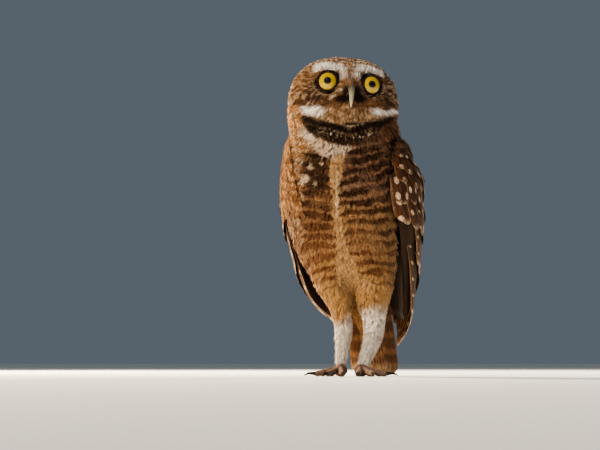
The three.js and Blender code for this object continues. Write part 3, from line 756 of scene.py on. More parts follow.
def markings(p):
    """The plumage's ground and marking colour, streak, fringe, phase of the bars, their share and kind."""
    c = palette()
    u, v = seen(p)
    q = in_head(p)
    z = p[..., 2]
    fine, uneven, broad = ripple(p, 3.2), ripple(p, 9), ripple(p + 31, 26)
    ahead = 1 - smooth(100, 122, np.abs(bearing(p)))
    ground, marking, phase, share = breast_marks(c, p, u, v, uneven, broad)
    streak, fringe, kind = 0.08 + 0 * u, 0.12 + 0 * u, 0 * u

    # Back, nape and rump: brown with pale drops
    behind = 1 - ahead
    back = over(c["brown"], c["dark"], 0.5 + 0.4 * broad)
    ground = over(ground, back, behind)
    marking = over(marking, mix(c["cream"], c["buff"], 0.4), behind)
    share = mix(share, 0.34, behind * smooth(50, 70, z))
    kind = np.where(behind > 0.5, 2, kind)
    streak = mix(streak, 0.3, behind)

    # Thighs and vent plain buff, the shanks white, and the thighs lightly marked along their outer edges
    low = smooth(70, 60, z)
    whiter = smooth(52, 38, z + 2 * uneven + np.clip(0.5 * (10 - u), -4, 6))
    legs = over(c["buff"], c["white"], whiter * 0.85)
    ground = over(ground, legs, low)
    share = share * (1 - low)
    for at_u, at_v in THIGH_SPOTS:
        ground = over(ground, c["rust"], 0.8 * blob(u, v + 0.5 * uneven, at_u, at_v, 2.6, 1.3, 0.6) * ahead)
    vent = smooth(84, 70, z) * smooth(24, 36, p[..., 1])
    ground = over(ground, over(c["buff"], c["tawny"], 0.5 + 0.3 * uneven), vent)
    share = share * (1 - vent)

    tone, covers = neck_marks(c, u, v, ahead, fine, uneven)
    ground = over(ground, tone, covers)
    share, streak, fringe = share * (1 - covers), streak * (1 - covers), fringe * (1 - 0.8 * covers)

    # Head: brown with small pale drops, and the face in front
    head = smooth(-0.6, 0.8, v - chin_line(u) + 0.5 * uneven) * smooth(186, 190, z)
    front = head * smooth(8, -3, q[..., 1] + 0.2 * np.maximum(np.abs(q[..., 0]) - 24, 0))
    crown = over(c["brown"], c["tawny"], 0.12 + 0.3 * uneven)
    crown = over(crown, c["cream"], smooth(-0.2, 0.8, fine) * smooth(16, -16, q[..., 1]) * 0.65)
    ground = over(ground, crown, head)
    marking = over(marking, c["cream"], head)
    kind = np.where(head > 0.5, 2, kind)
    share = mix(share, 0.36, head)
    streak = mix(streak, 0.3, head)
    on_top = smooth(26, 29, q[..., 2] + 0.9 * uneven)
    on_top = on_top + smooth(5.2, 4, np.abs(q[..., 0])) * smooth(23, 25, q[..., 2])
    front = front * (1 - np.clip(on_top, 0, 1))
    ground = over(ground, face_marks(c, u, v, q, fine, uneven, broad), front)
    share = share * (1 - front)
    streak, fringe = mix(streak, 0.08, front), mix(fringe, 0.05, front)
    return dict(
        ground=ground, marking=marking, streak=streak, fringe=fringe, phase=phase, share=share, kind=kind
    )


# Feather nets: points along and across a feather, and the triangles between them


UNDERSIDE_SHADE = 0.3  # painted shade: how dark a feather's underside is beside its upper side


class Net:
    """A feather's net as a thin closed lens: rows of (share along, half width, points across) and a tip."""

    def __init__(self, rows, tip, root_width=0.0):
        lines = [[(0.0, root_width * side, True) for side in ((0,) if root_width == 0 else (-1, 1))]]
        for along, half, count in rows:
            sides = np.linspace(-1, 1, count)
            lines.append([(along, half * side, abs(side) == 1) for side in sides])
        lines.append([(along, across, True) for along, across in tip])
        points = [point for line in lines for point in line]
        starts = np.cumsum([0] + [len(line) for line in lines])
        flat = []
        for r in range(len(lines) - 1):
            low, high = lines[r], lines[r + 1]
            i = j = 0
            place = lambda line, k: (line[k][1] - line[0][1]) / max(line[-1][1] - line[0][1], 1e-9)
            while i < len(low) - 1 or j < len(high) - 1:
                a, b = starts[r] + i, starts[r + 1] + j
                forward = j == len(high) - 1 or (i < len(low) - 1 and place(low, i + 1) <= place(high, j + 1))
                if forward:
                    flat.append((a, a + 1, b))
                    i += 1
                else:
                    flat.append((a, b + 1, b))
                    j += 1
        rim = np.array([point[2] for point in points])
        inner = np.flatnonzero(~rim)
        under = np.arange(len(points))
        under[inner] = len(points) + np.arange(len(inner))
        top = np.array(flat)
        self.triangles = np.concatenate([top, under[top][:, ::-1]])
        net = np.array([(point[0], point[1]) for point in points])
        widest = np.abs(net[:, 1]).max()
        self.along = np.concatenate([net[:, 0], net[inner, 0]])
        self.across = np.concatenate([net[:, 1], net[inner, 1]]) / widest
        self.face = np.concatenate([np.where(rim, 0, 1), -np.ones(len(inner))])
        # The underside's colour is darkened, as painted shade
        self.shade = np.where(self.face < 0, UNDERSIDE_SHADE, 1)
        self.sharp = np.zeros((len(self.along),) * 2, bool)
        for a, b, c in top:
            for i, j in ((a, b), (b, c), (c, a)):
                if rim[i] and rim[j]:
                    self.sharp[i, j] = self.sharp[j, i] = True


def ragged(count, base, depth, half):
    """A feather's tip as teeth on a rounded end."""
    points = []
    for k in range(count):
        side = 2 * k / (count - 1) - 1
        tooth = (k % 2) * depth
        rounded = base + (1 - base) * (1 - abs(side) ** 2.0) * 0.9
        points.append((rounded + tooth * (1 - abs(side)) - depth, side * half))
    return points


CONTOUR = Net([(0.26, 0.5, 3), (0.6, 0.95, 5), (0.84, 0.98, 5)], ragged(9, 0.93, 0.035, 0.74))
SMALL = Net([(0.34, 0.72, 3), (0.76, 1, 3)], ragged(5, 0.93, 0.05, 0.66))
LOCK = Net([(0.3, 0.9, 3), (0.65, 0.75, 3)], [(1.0, 0.0)])
DOWN = Net([(0.45, 1.0, 3)], [(1.0, 0.0)])


class Heap:
    """Many small closed shapes, gathered into one mesh with what its material reads."""

    def __init__(self):
        self.parts = []

    def add(self, net, points, patch, **given):
        """Feathers as points (feather, net point, xyz), their patches on the unwrap and their markings."""
        self.parts.append((net, points, patch, given))

    def piece(self, name):
        mesh = bpy.data.meshes.new(name)
        points = np.concatenate([part[1].reshape(-1, 3) for part in self.parts])
        starts, triangles, base = [], [], 0
        for net, rows, _, _ in self.parts:
            n, size = rows.shape[:2]
            corner = net.triangles[None] + (base + size * np.arange(n))[:, None, None]
            triangles.append(corner.reshape(-1, 3))
            starts.append(base)
            base += n * size
        triangles = np.concatenate(triangles)
        mesh.vertices.add(len(points))
        mesh.vertices.foreach_set("co", packed(points).astype(np.float32).ravel())
        mesh.loops.add(triangles.size)
        mesh.loops.foreach_set("vertex_index", triangles.astype(np.int32).ravel())
        mesh.polygons.add(len(triangles))
        mesh.polygons.foreach_set("loop_start", np.arange(0, triangles.size, 3, dtype=np.int32))
        mesh.polygons.foreach_set("use_smooth", np.ones(len(triangles), bool))
        mesh.update(calc_edges=True)
        patches = np.concatenate([part[2].reshape(-1, 2) for part in self.parts])
        layer = mesh.uv_layers.new(name="OFBake")
        layer.data.foreach_set("uv", patches[triangles.ravel()].astype(np.float32).ravel())
        for key, kind, size in (
            ("place", "FLOAT_VECTOR", 3), ("marks", "FLOAT_VECTOR", 3),
            ("ground", "FLOAT_COLOR", 4), ("marking", "FLOAT_COLOR", 4),
        ):
            values = [part[3][key].reshape(-1, size) for part in self.parts]
            set_attribute(mesh, key, kind, np.concatenate(values))
        ends = mesh_array(mesh, "edges", "vertices", 2, np.int32)
        sharp = np.zeros(len(ends), bool)
        for (net, rows, _, _), start in zip(self.parts, starts):
            n, size = rows.shape[:2]
            inside = (ends[:, 0] >= start) & (ends[:, 0] < start + n * size)
            local = (ends[inside] - start) % size
            sharp[inside] = net.sharp[local[:, 0], local[:, 1]]
        attribute = mesh.attributes.new("sharp_edge", "BOOLEAN", "EDGE")
        attribute.data.foreach_set("value", sharp)
        return new_piece(name, mesh)


def lie(p, n):
    """The way that the feathers lie at places of the skin, along it."""
    q = in_head(p)
    body = np.stack([0.012 * p[:, 0] * smooth(90, 140, p[:, 2]), 0.22 + 0 * p[:, 0], -1 + 0 * p[:, 0]], 1)
    away = unit(q - np.array([0, -33, 6]))
    front = smooth(10, -14, q[:, 1])[:, None]
    back = np.array([0, 0.75, -1.0])
    heading = away * front + back * (1 - front) * 0.8
    for centre, _ in EYES.values():
        out = q - in_head(centre)
        near = np.exp(-((np.linalg.norm(out, axis=1) - 9) / 5.5) ** 2)[:, None]
        radial = unit(out * [1, 0.3, 1])
        heading = heading * (1 - 0.75 * near) + radial * 0.75 * near
    heading = heading + np.array([0, 0, -0.9]) * smooth(-4, -16, q[:, 2])[:, None]
    head = smooth(178, 192, p[:, 2])[:, None]
    wanted = body * (1 - head) + unit(heading) @ HEAD_TURN.T * head
    wanted = wanted - n * (wanted * n).sum(1, keepdims=True)
    return unit(wanted)


def turned_about(v, axis, angle):
    c, s = np.cos(angle)[:, None], np.sin(angle)[:, None]
    return v * c + np.cross(axis, v) * s + axis * (axis * v).sum(1, keepdims=True) * (1 - c)


PATCH = np.array([0.0014, 0.0028])  # half the width and the height of a feather's patch on the unwrap

# What a feather has unless its kind says otherwise: how much its length varies, its lie sways, and its end is
# lifted, ruffled, rolled, cupped, thickened and bent; how much of its markings belongs to the whole of it,
# how many spotted feathers have their spot, how much tone and bars vary, and what scales it by its place
FEATHER = dict(
    vary=0.14, sway=0.12, lift=0.95, ruffle=0.25, roll=0.12, cup=0.16, thick=0.16, bend=0.1,
    whole=0.25, spotted=0.5, tone=0.13, jitter=0.05, scale=None,
)


def small_patches(roots, net):
    """A small patch of the skin's unwrap for each feather, at its root's place."""
    middles = np.maximum(unwrap(roots), PATCH)
    return middles[:, None] + np.stack([net.across, net.along - 0.5], -1)[None] * PATCH


def grow(heap, ground, net, roots, normals, size, rng, marks=markings):
    """Feathers from roots on the skin, lying along it, rising to the outline and marked for their place."""
    size = FEATHER | size
    n = len(roots)
    long = size["long"] * (1 + size["vary"] * rng.normal(size=n)).clip(0.6, 1.5)
    wide = size["wide"] * (1 + 0.12 * rng.normal(size=n)).clip(0.6, 1.4)
    if size["scale"]:
        scale = size["scale"](roots)
        long, wide = long * scale, wide * mix(1, scale, 0.6)
    sway = size["sway"] * rng.normal(size=n)
    start = turned_about(lie(roots, normals), normals, sway)
    ends, end_normals = ground.nearest(roots + start * long[:, None])
    finish = turned_about(lie(ends, end_normals), end_normals, sway)
    s = net.along[None, :, None]
    reach = long[:, None, None]
    p0, p1 = roots[:, None], ends[:, None]
    d0, d1 = start[:, None] * reach, finish[:, None] * reach
    line = cubic(p0, p1, d0, d1, s)
    run = p0 * (6 * s**2 - 6 * s) + d0 * (3 * s**2 - 4 * s + 1)
    run = unit(run + p1 * (6 * s - 6 * s**2) + d1 * (3 * s**2 - 2 * s))
    out = unit(mix(normals[:, None], end_normals[:, None], s))
    side = unit(np.cross(run, out))
    depth = mix(coat_depth(roots)[:, None], coat_depth(ends)[:, None], net.along[None])
    lift = size["lift"] + 0.06 * rng.normal(size=n)
    ruffle = size["ruffle"] * np.abs(rng.normal(size=n))
    roll = size["roll"] * rng.normal(size=n)
    along = net.along[None]
    half = wide[:, None] / 2
    rise = -0.4 * (1 - along) + depth * lift[:, None] * (1 - (1 - along) ** 1.6) + ruffle[:, None] * along**3
    curl = size["cup"] * half * net.across[None] ** 2
    height = rise - curl + roll[:, None] * half * net.across[None]
    height = height + net.face[None] * size["thick"] * (1 - 0.6 * along)
    bend = size["bend"] * rng.normal(size=n)
    points = line + side * ((net.across[None] * half) + bend[:, None] * long[:, None] * along**2)[..., None]
    points = points + out * height[..., None]
    # A feather's markings belong partly to the whole of it, at its shown part, and partly to each point
    shown = np.argmin(np.abs(net.along - 0.8) + np.abs(net.across) * 2)
    whole = points[:, shown : shown + 1]
    found = marks(mix(points, whole, size["whole"]))
    kinds = marks(whole)["kind"]
    luck = rng.random(n)
    bare = (kinds > 1.5) & (rng.random((n, 1)) > size["spotted"])
    found["share"] = np.where(bare, 0, found["share"])
    tone = (1 + size["tone"] * rng.normal(size=n)).clip(0.6, 1.5)[:, None, None]
    jitter = size["jitter"] * rng.normal(size=n)
    # Each feather's underside is darkened, as painted shade
    tone = tone * net.shade[None, :, None]
    heap.add(
        net, points, small_patches(roots, net),
        place=side_by_side(along, net.across[None], luck[:, None]),
        marks=side_by_side(found["phase"] + jitter[:, None], found["share"], kinds),
        ground=with_fourth(found["ground"] * tone, found["streak"]),
        marking=with_fourth(found["marking"] * tone, found["fringe"]),
    )


def grow_piece(name, ground, part, spacing, net, size, rng, dress, marks=markings):
    """Feathers of one kind over a part of the skin, as a piece with its material."""
    heap = Heap()
    roots, normals = ground.scatter(spacing, part, rng)
    grow(heap, ground, net, roots, normals, size, rng, marks)
    finished(heap.piece(name), *dress)


# Materials


class Nodes:
    """A material's node tree, with short ways to add to it."""

    def __init__(self, name):
        self.material = bpy.data.materials.new(name)
        self.material.use_nodes = True
        self.tree = self.material.node_tree
        self.tree.nodes.clear()
        self.output = self.tree.nodes.new("ShaderNodeOutputMaterial")

    def put(self, socket, value):
        if isinstance(value, bpy.types.NodeSocket):
            self.tree.links.new(value, socket)
        elif value is not None:
            socket.default_value = value

    def node(self, kind, inputs=(), **settings):
        made = self.tree.nodes.new(kind)
        for key, value in settings.items():
            setattr(made, key, value)
        for key, value in dict(inputs).items():
            self.put(made.inputs[key], value)
        return made

    def math(self, operation, *values):
        made = self.node("ShaderNodeMath", operation=operation)
        for i, value in enumerate(values):
            self.put(made.inputs[i], value)
        return made.outputs[0]

    def plus(self, a, b):
        return self.math("ADD", a, b)

    def less(self, a, b):
        return self.math("SUBTRACT", a, b)

    def times(self, a, b):
        return self.math("MULTIPLY", a, b)

    def shared(self, a, b):
        return self.math("DIVIDE", a, b)

    def far(self, x, y):
        """The length of a line so far across and so far up."""
        return self.math("SQRT", self.plus(self.math("POWER", x, 2.0), self.math("POWER", y, 2.0)))

    def mix(self, share, a, b, blend="MIX"):
        made = self.node("ShaderNodeMix", data_type="RGBA", blend_type=blend, clamp_factor=True)
        self.put(made.inputs[0], share)
        for socket, value in ((made.inputs[6], a), (made.inputs[7], b)):
            self.put(socket, (*value, 1) if isinstance(value, (tuple, list)) and len(value) == 3 else value)
        return made.outputs[2]

    def step(self, value, low, high, start=0.0, end=1.0):
        made = self.node("ShaderNodeMapRange", interpolation_type="SMOOTHSTEP")
        for i, item in enumerate((value, low, high, start, end)):
            self.put(made.inputs[i], item)
        return made.outputs[0]

    def attribute(self, name):
        return self.node("ShaderNodeAttribute", attribute_name=name)

    def split(self, vector):
        return self.node("ShaderNodeSeparateXYZ", {0: vector}).outputs

    def join(self, x, y, z):
        return self.node("ShaderNodeCombineXYZ", {0: x, 1: y, 2: z}).outputs[0]

    def noise(self, vector, scale, detail=2.0, roughness=0.5):
        inputs = {"Vector": vector, "Scale": scale, "Detail": detail, "Roughness": roughness}
        return self.node("ShaderNodeTexNoise", inputs).outputs[0]

    def object_place(self):
        return self.node("ShaderNodeTexCoord").outputs["Object"]

    def bump(self, height, strength, distance):
        inputs = {"Height": height, "Strength": strength, "Distance": distance}
        return self.node("ShaderNodeBump", inputs).outputs[0]

    def surface(self, **inputs):
        shader = self.node("ShaderNodeBsdfPrincipled")
        for key, value in inputs.items():
            self.put(shader.inputs[key.replace("_", " ")], value)
        self.tree.links.new(shader.outputs[0], self.output.inputs[0])
        return self.material


def plumage_material(name, roughness, sheen, roots=0.45):
    """Feathers: barred or spotted by their marks, with barbs, a shaft, a pale fringe and painted shade
    towards their roots.
    """
    m = Nodes(name)
    s, t, luck = m.split(m.attribute("place").outputs["Vector"])
    phase, share, kind = m.split(m.attribute("marks").outputs["Vector"])
    ground = m.attribute("ground")
    marking = m.attribute("marking")
    aside = m.math("ABSOLUTE", t)
    slant = m.less(s, m.times(aside, 0.22))
    barbs = m.noise(m.join(m.times(t, 1.4), m.times(slant, 34.0), m.times(luck, 60.0)), 1.0)
    shift = m.times(m.less(barbs, 0.5), 0.26)
    arched = m.plus(phase, m.plus(shift, m.times(m.math("POWER", aside, 2.0), 0.1)))
    # Bars are darkest at whole numbers of the phase
    turned = m.math("FRACT", m.plus(arched, 0.5))
    off = m.times(m.math("ABSOLUTE", m.less(turned, 0.5)), 2.0)
    bars = m.step(off, m.less(share, 0.26), m.plus(share, 0.16), 1.0, 0.0)
    # Twin spots, one each side of the shaft, over and over along the feather
    spotted = m.math("MAXIMUM", share, 0.05)
    twins = m.step(m.far(m.shared(m.less(aside, 0.52), 0.22), m.shared(off, spotted)), 0.85, 1.1, 1.0, 0.0)
    # One drop near the tip
    drop_high = m.math("MAXIMUM", m.times(share, 0.3), 0.03)
    drop_far = m.far(m.shared(t, spotted), m.shared(m.less(s, 0.84), drop_high))
    drop = m.step(m.plus(drop_far, shift), 0.8, 1.15, 1.0, 0.0)
    is_bars = m.math("LESS_THAN", kind, 0.5)
    is_drop = m.math("GREATER_THAN", kind, 1.5)
    is_twins = m.less(m.less(1.0, is_bars), is_drop)
    mask = m.plus(m.plus(m.times(bars, is_bars), m.times(twins, is_twins)), m.times(drop, is_drop))
    mask = m.times(mask, m.math("GREATER_THAN", share, 0.06))
    tone = m.mix(mask, ground.outputs["Color"], marking.outputs["Color"])
    shaft = m.times(m.step(m.plus(aside, shift), 0.04, 0.3, 1.0, 0.0), ground.outputs["Alpha"])
    tone = m.mix(shaft, tone, (0.02, 0.011, 0.006))
    fringe = marking.outputs["Alpha"]
    tone = m.mix(m.times(m.step(m.plus(s, shift), 0.86, 1.0), fringe), tone, linear("d9c09c"))
    tone = m.mix(m.times(m.step(m.plus(aside, shift), 0.84, 1.0, 0.0, 0.7), fringe), tone, linear("c9a67c"))
    strands = m.noise(m.join(m.times(t, 9.0), m.times(s, 3.0), m.times(luck, 90.0)), 1.0)
    fuzz = m.times(m.step(barbs, 0.25, 0.75, 0.84, 1.12), m.step(strands, 0.3, 0.7, 0.66, 1.22))
    # Painted shade: each feather darkens towards its root, down to the share given by roots there
    root_shade = m.step(s, 0.0, 0.6, roots, 1.0)
    value = m.times(fuzz, m.times(root_shade, m.plus(0.88, m.times(luck, 0.24))))
    tone = m.mix(1.0, tone, m.join(value, value, value), "MULTIPLY")
    ridge = m.step(aside, 0.0, 0.1, 0.6, 0.0)
    normal = m.bump(m.plus(m.plus(barbs, strands), ridge), 0.5, 0.0004)
    return m.surface(
        Base_Color=tone, Roughness=roughness, Normal=normal, Sheen_Weight=sheen, Sheen_Roughness=0.4,
        Sheen_Tint=(1.0, 0.84, 0.66, 1), Specular_IOR_Level=0.2,
    )


def skin_material():
    m = Nodes("Skin under the plumage")
    tint = m.attribute("ground").outputs["Color"]
    grain = m.noise(m.object_place(), 900.0, 3.0)
    tone = m.mix(m.step(grain, 0.3, 0.7, 0.5, 0.75), (0.02, 0.012, 0.008), tint)
    bump = m.bump(grain, 0.5, 0.0006)
    return m.surface(Base_Color=tone, Roughness=0.9, Normal=bump, Specular_IOR_Level=0.2)


def eye_material():
    colours = bpy.context.scene.owl_colours
    sizes = bpy.context.scene.owl_sizes
    m = Nodes("Yellow eye")
    x, y, _ = m.split(m.attribute("gaze").outputs["Vector"])
    far = m.far(x, y)
    around = m.math("ARCTAN2", y, x)
    pupil, iris = sizes.pupil / MM / 2, sizes.iris / MM / 2
    rays = m.noise(m.join(m.times(around, 5.0), m.times(far, 0.35), 0.0), 3.0, 3.0)
    patches = m.noise(m.join(x, y, 0.0), 0.35, 2.0)
    tone = m.mix(m.step(rays, 0.3, 0.72), tuple(colours.iris), linear("a88600"))
    tone = m.mix(m.step(patches, 0.45, 0.75, 0.0, 0.5), tone, linear("8f9204"))
    tone = m.mix(m.step(far, pupil + 0.2, pupil + 1.3, 0.55, 0.0), tone, linear("94700a"))
    tone = m.mix(m.step(far, iris - 0.75, iris - 0.1), tone, linear("120d08"))
    tone = m.mix(m.step(far, pupil - 0.12, pupil + 0.12, 1.0, 0.0), tone, linear("050506"))
    bump = m.bump(m.times(rays, m.step(far, pupil, pupil + 0.4)), 0.15, 0.0002)
    return m.surface(
        Base_Color=tone, Roughness=0.28, Normal=bump, Coat_Weight=1.0, Coat_Roughness=0.02,
        Specular_IOR_Level=0.5,
    )


def lid_material():
    m = Nodes("Dark eyelid")
    grain = m.noise(m.object_place(), 2600.0, 3.0)
    tone = m.mix(grain, linear("17100b"), linear("3a2a20"))
    return m.surface(Base_Color=tone, Roughness=0.5, Normal=m.bump(grain, 0.4, 0.0002))


def bill_material():
    colours = bpy.context.scene.owl_colours
    m = Nodes("Bill horn")
    along, around, _ = m.split(m.attribute("place").outputs["Vector"])
    growth = m.noise(m.join(m.times(along, 26.0), m.times(around, 3.0), 0.0), 1.0, 4.0)
    mottle = m.noise(m.object_place(), 500.0, 3.0)
    tone = m.mix(m.step(mottle, 0.35, 0.7), tuple(colours.horn), linear("8a8774"))
    tone = m.mix(m.step(along, 0.4, 0.72, 0.92, 0.0), tone, linear("4a4232"))
    tone = m.mix(m.step(along, 0.7, 1.0, 0.0, 0.6), tone, linear("cfc7a4"))
    tone = m.mix(m.step(growth, 0.4, 0.8, 0.0, 0.3), tone, linear("6a654f"))
    return m.surface(
        Base_Color=tone, Roughness=0.42, Normal=m.bump(growth, 0.25, 0.0002), Specular_IOR_Level=0.45
    )


def toe_material():
    colours = bpy.context.scene.owl_colours
    m = Nodes("Toe skin")
    place = m.object_place()
    cells = m.node("ShaderNodeTexVoronoi", {"Vector": place, "Scale": 1300.0}, feature="DISTANCE_TO_EDGE")
    cells = cells.outputs[0]
    grain = m.noise(place, 420.0, 3.0)
    tone = m.mix(grain, tuple(colours.toe), linear("6b5548"))
    tone = m.mix(m.step(cells, 0.0, 0.12, 0.65, 0.0), tone, linear("3d2f27"))
    bump = m.bump(m.step(cells, 0.0, 0.25), 0.6, 0.0003)
    return m.surface(Base_Color=tone, Roughness=0.75, Normal=bump, Specular_IOR_Level=0.15)


def claw_material():
    colours = bpy.context.scene.owl_colours
    m = Nodes("Claw horn")
    along, _, _ = m.split(m.attribute("place").outputs["Vector"])
    grain = m.noise(m.object_place(), 700.0, 4.0)
    tone = m.mix(m.step(along, 0.0, 0.4, 0.6, 0.0), tuple(colours.claw), linear("54453a"))
    tone = m.mix(m.step(grain, 0.45, 0.75, 0.0, 0.5), tone, linear("4a4038"))
    bump = m.bump(grain, 0.15, 0.0002)
    return m.surface(Base_Color=tone, Roughness=0.55, Normal=bump, Specular_IOR_Level=0.2)


def floor_material():
    colours = bpy.context.scene.owl_colours
    m = Nodes("Plain floor")
    grain = m.noise(m.object_place(), 6.0, 4.0)
    near = m.mix(grain, tuple(colours.floor), tuple(0.94 * part for part in colours.floor))
    return m.surface(Base_Color=near, Roughness=0.8, Specular_IOR_Level=0.2)


# Wings


def wing_curves():
    curves = {}
    for name, wing in WINGS.items():
        lowest = wing["flank"][-1][0] + WING["clear"]
        trunk = [level for level in TRUNK if level[0] > lowest]
        curves[name] = (through([*wing["flank"], *trunk]), through(wing["lie"]))
    return curves


WING_CURVES = wing_curves()


def wing_point(name, share, z, out):
    """A point of a wing: share from its front to its back edge, height, and how far out from the flank."""
    flank, lies = WING_CURVES[name]
    levels, lay = flank(z), lies(z)
    angle = np.radians(mix(lay[..., 1], lay[..., 2], share))
    s, c = np.sin(angle), np.cos(angle)
    reach = (np.abs(s) ** SQUARENESS + np.abs(c) ** SQUARENESS) ** (-1 / SQUARENESS)
    x = levels[..., 0] + WINGS[name]["side"] * (levels[..., 2] + out) * s * reach
    y = levels[..., 1] - (levels[..., 3] + out) * c * reach
    return np.stack([x, y, z + 0 * x], -1)


def wing_stand(name, share, z):
    stand = WING_CURVES[name][1](z)[..., 0]
    across = np.clip(share, 0, 1) ** WINGS[name]["fullest"]
    return WING["edge"] + stand * np.sin(pi * across) ** WING["fullness"]


def wing_chord(name, z):
    wide = WING_CURVES[name][0](z)[..., 2]
    lay = WING_CURVES[name][1](z)
    return np.radians(lay[..., 2] - lay[..., 1]) * (wide + WING["edge"] + lay[..., 0] / 2)


def long_net(rows, across, round_from):
    """A flight feather's net: parallel sides that round off towards the tip."""
    stations = np.linspace(0.02, 1, rows) ** 0.9
    lines = []
    for along in stations[:-1]:
        ease = np.clip((along - round_from) / (1 - round_from), 0, 1)
        half = min(1.0, 0.45 + along * 5) * (1 - ease**2.4) ** 0.5
        lines.append((along, max(half, 0.12), across))
    end = lines[-1][1]
    tip = [(1 - 0.012 * abs(side) ** 2 * 4, side * end * 0.55) for side in np.linspace(-1, 1, 5)]
    return Net(lines, tip, root_width=0.3)


FLIGHT = long_net(15, 7, 0.86)
COVERT = long_net(9, 7, 0.62)

# Tiers of a wing's feathers from the innermost out: how many, heights of roots and tips from front to back,
# where the first and last lie across the wing, how far the tips close in, width, outer face at root and tip
# measured from the wing's outer surface, and the kind of their markings
TIERS = {
    "primaries": dict(count=10, root=(104, 92), tip=(46, 30, 23.5, 26, 34, 44), span=(0.12, 0.72),
                      closing=0.75, wide=13, sunk=-4.6, proud=-2.4, marks="flight"),
    "secondaries": dict(count=10, root=(126, 120), tip=(82, 66, 58, 55, 56), span=(0.2, 0.9),
                        closing=0.9, wide=15, sunk=-3.4, proud=-1.3, marks="flight"),
    "greater coverts": dict(count=11, root=(146, 142), tip=(114, 104, 99, 97, 99), span=(0.06, 0.86),
                            wide=13, sunk=-2.4, proud=-0.4, marks="covert"),
    "median coverts": dict(count=10, root=(155, 150), tip=(130, 121, 117, 117), span=(0.05, 0.84),
                           wide=12, sunk=-1.9, proud=0.1, marks="covert"),
    "lesser coverts low": dict(count=10, root=(163, 157), tip=(143, 135, 131, 131), span=(0.06, 0.82),
                               wide=11, sunk=-1.7, proud=0.3, marks="lesser"),
    "lesser coverts middle": dict(count=10, root=(169, 165), tip=(153, 146, 143, 143), span=(0.04, 0.82),
                                  wide=10.5, sunk=-1.5, proud=0.5, marks="lesser"),
    "lesser coverts high": dict(count=9, root=(174, 172), tip=(162, 157, 154, 155), span=(0.05, 0.85),
                                wide=10, sunk=-1.3, proud=0.6, marks="lesser"),
    "shoulder": dict(count=8, root=(178, 179), tip=(170, 167, 165, 166), span=(0.06, 0.9),
                     wide=10, sunk=-1.2, proud=0.7, marks="lesser"),
    "scapulars low": dict(count=5, root=(150, 138), tip=(124, 112, 102, 92), span=(0.72, 0.98),
                          wide=14, sunk=-1.4, proud=0.8, marks="covert"),
    "scapulars high": dict(count=5, root=(166, 158), tip=(142, 132, 124, 118), span=(0.74, 0.98),
                           wide=13, sunk=-1.2, proud=1.2, marks="covert"),
}
# Spacing, kind and size of the marks on each kind of wing feather, and how pale its fringe is
VANE_MARKS = dict(
    flight=dict(spacing=12.0, kind=1.0, size=0.3, fringe=0.8),
    covert=dict(spacing=11.5, kind=1.0, size=0.36, fringe=0.4),
    lesser=dict(spacing=9.0, kind=2.0, size=0.34, fringe=0.3),
)
# Where the body's small feathers lap over each wing: heights, shares across it, and how many there are
LAPS = dict(
    left=dict(low=174, high=182, first=-0.05, last=0.95, count=520),
    right=dict(low=126, high=181, first=-0.8, last=0.5, count=3200),
)
LAP_TINT = [0.85, 0.76, 0.64]


class Sheet:
    """A square sheet on the unwrap: a cell for each vane, and the last row of cells for small feathers."""

    def __init__(self, side):
        self.side = side
        self.taken = 0

    def patches(self, net, count):
        """The next cells, one for each vane, its underside beside its face."""
        index = self.taken + np.arange(count)
        self.taken += count
        corner = np.stack([index % self.side, index // self.side], -1)[:, None]
        aside = 0.25 + 0.2 * net.across + np.where(net.face < 0, 0.5, 0)
        flat = np.stack([aside, 0.05 + 0.9 * net.along], -1)
        return (corner + flat[None]) / self.side

    def small_patches(self, net, count, columns=160, rows=20):
        column, row = np.arange(count) % columns, np.arange(count) // columns
        high = 1 - 1 / self.side + (row + 0.2) / (rows * self.side)
        corner = np.stack([(column + 0.5) / columns, high], -1)
        return corner[:, None] + np.stack([0.002 * net.across, 0.003 * net.along], -1)[None]


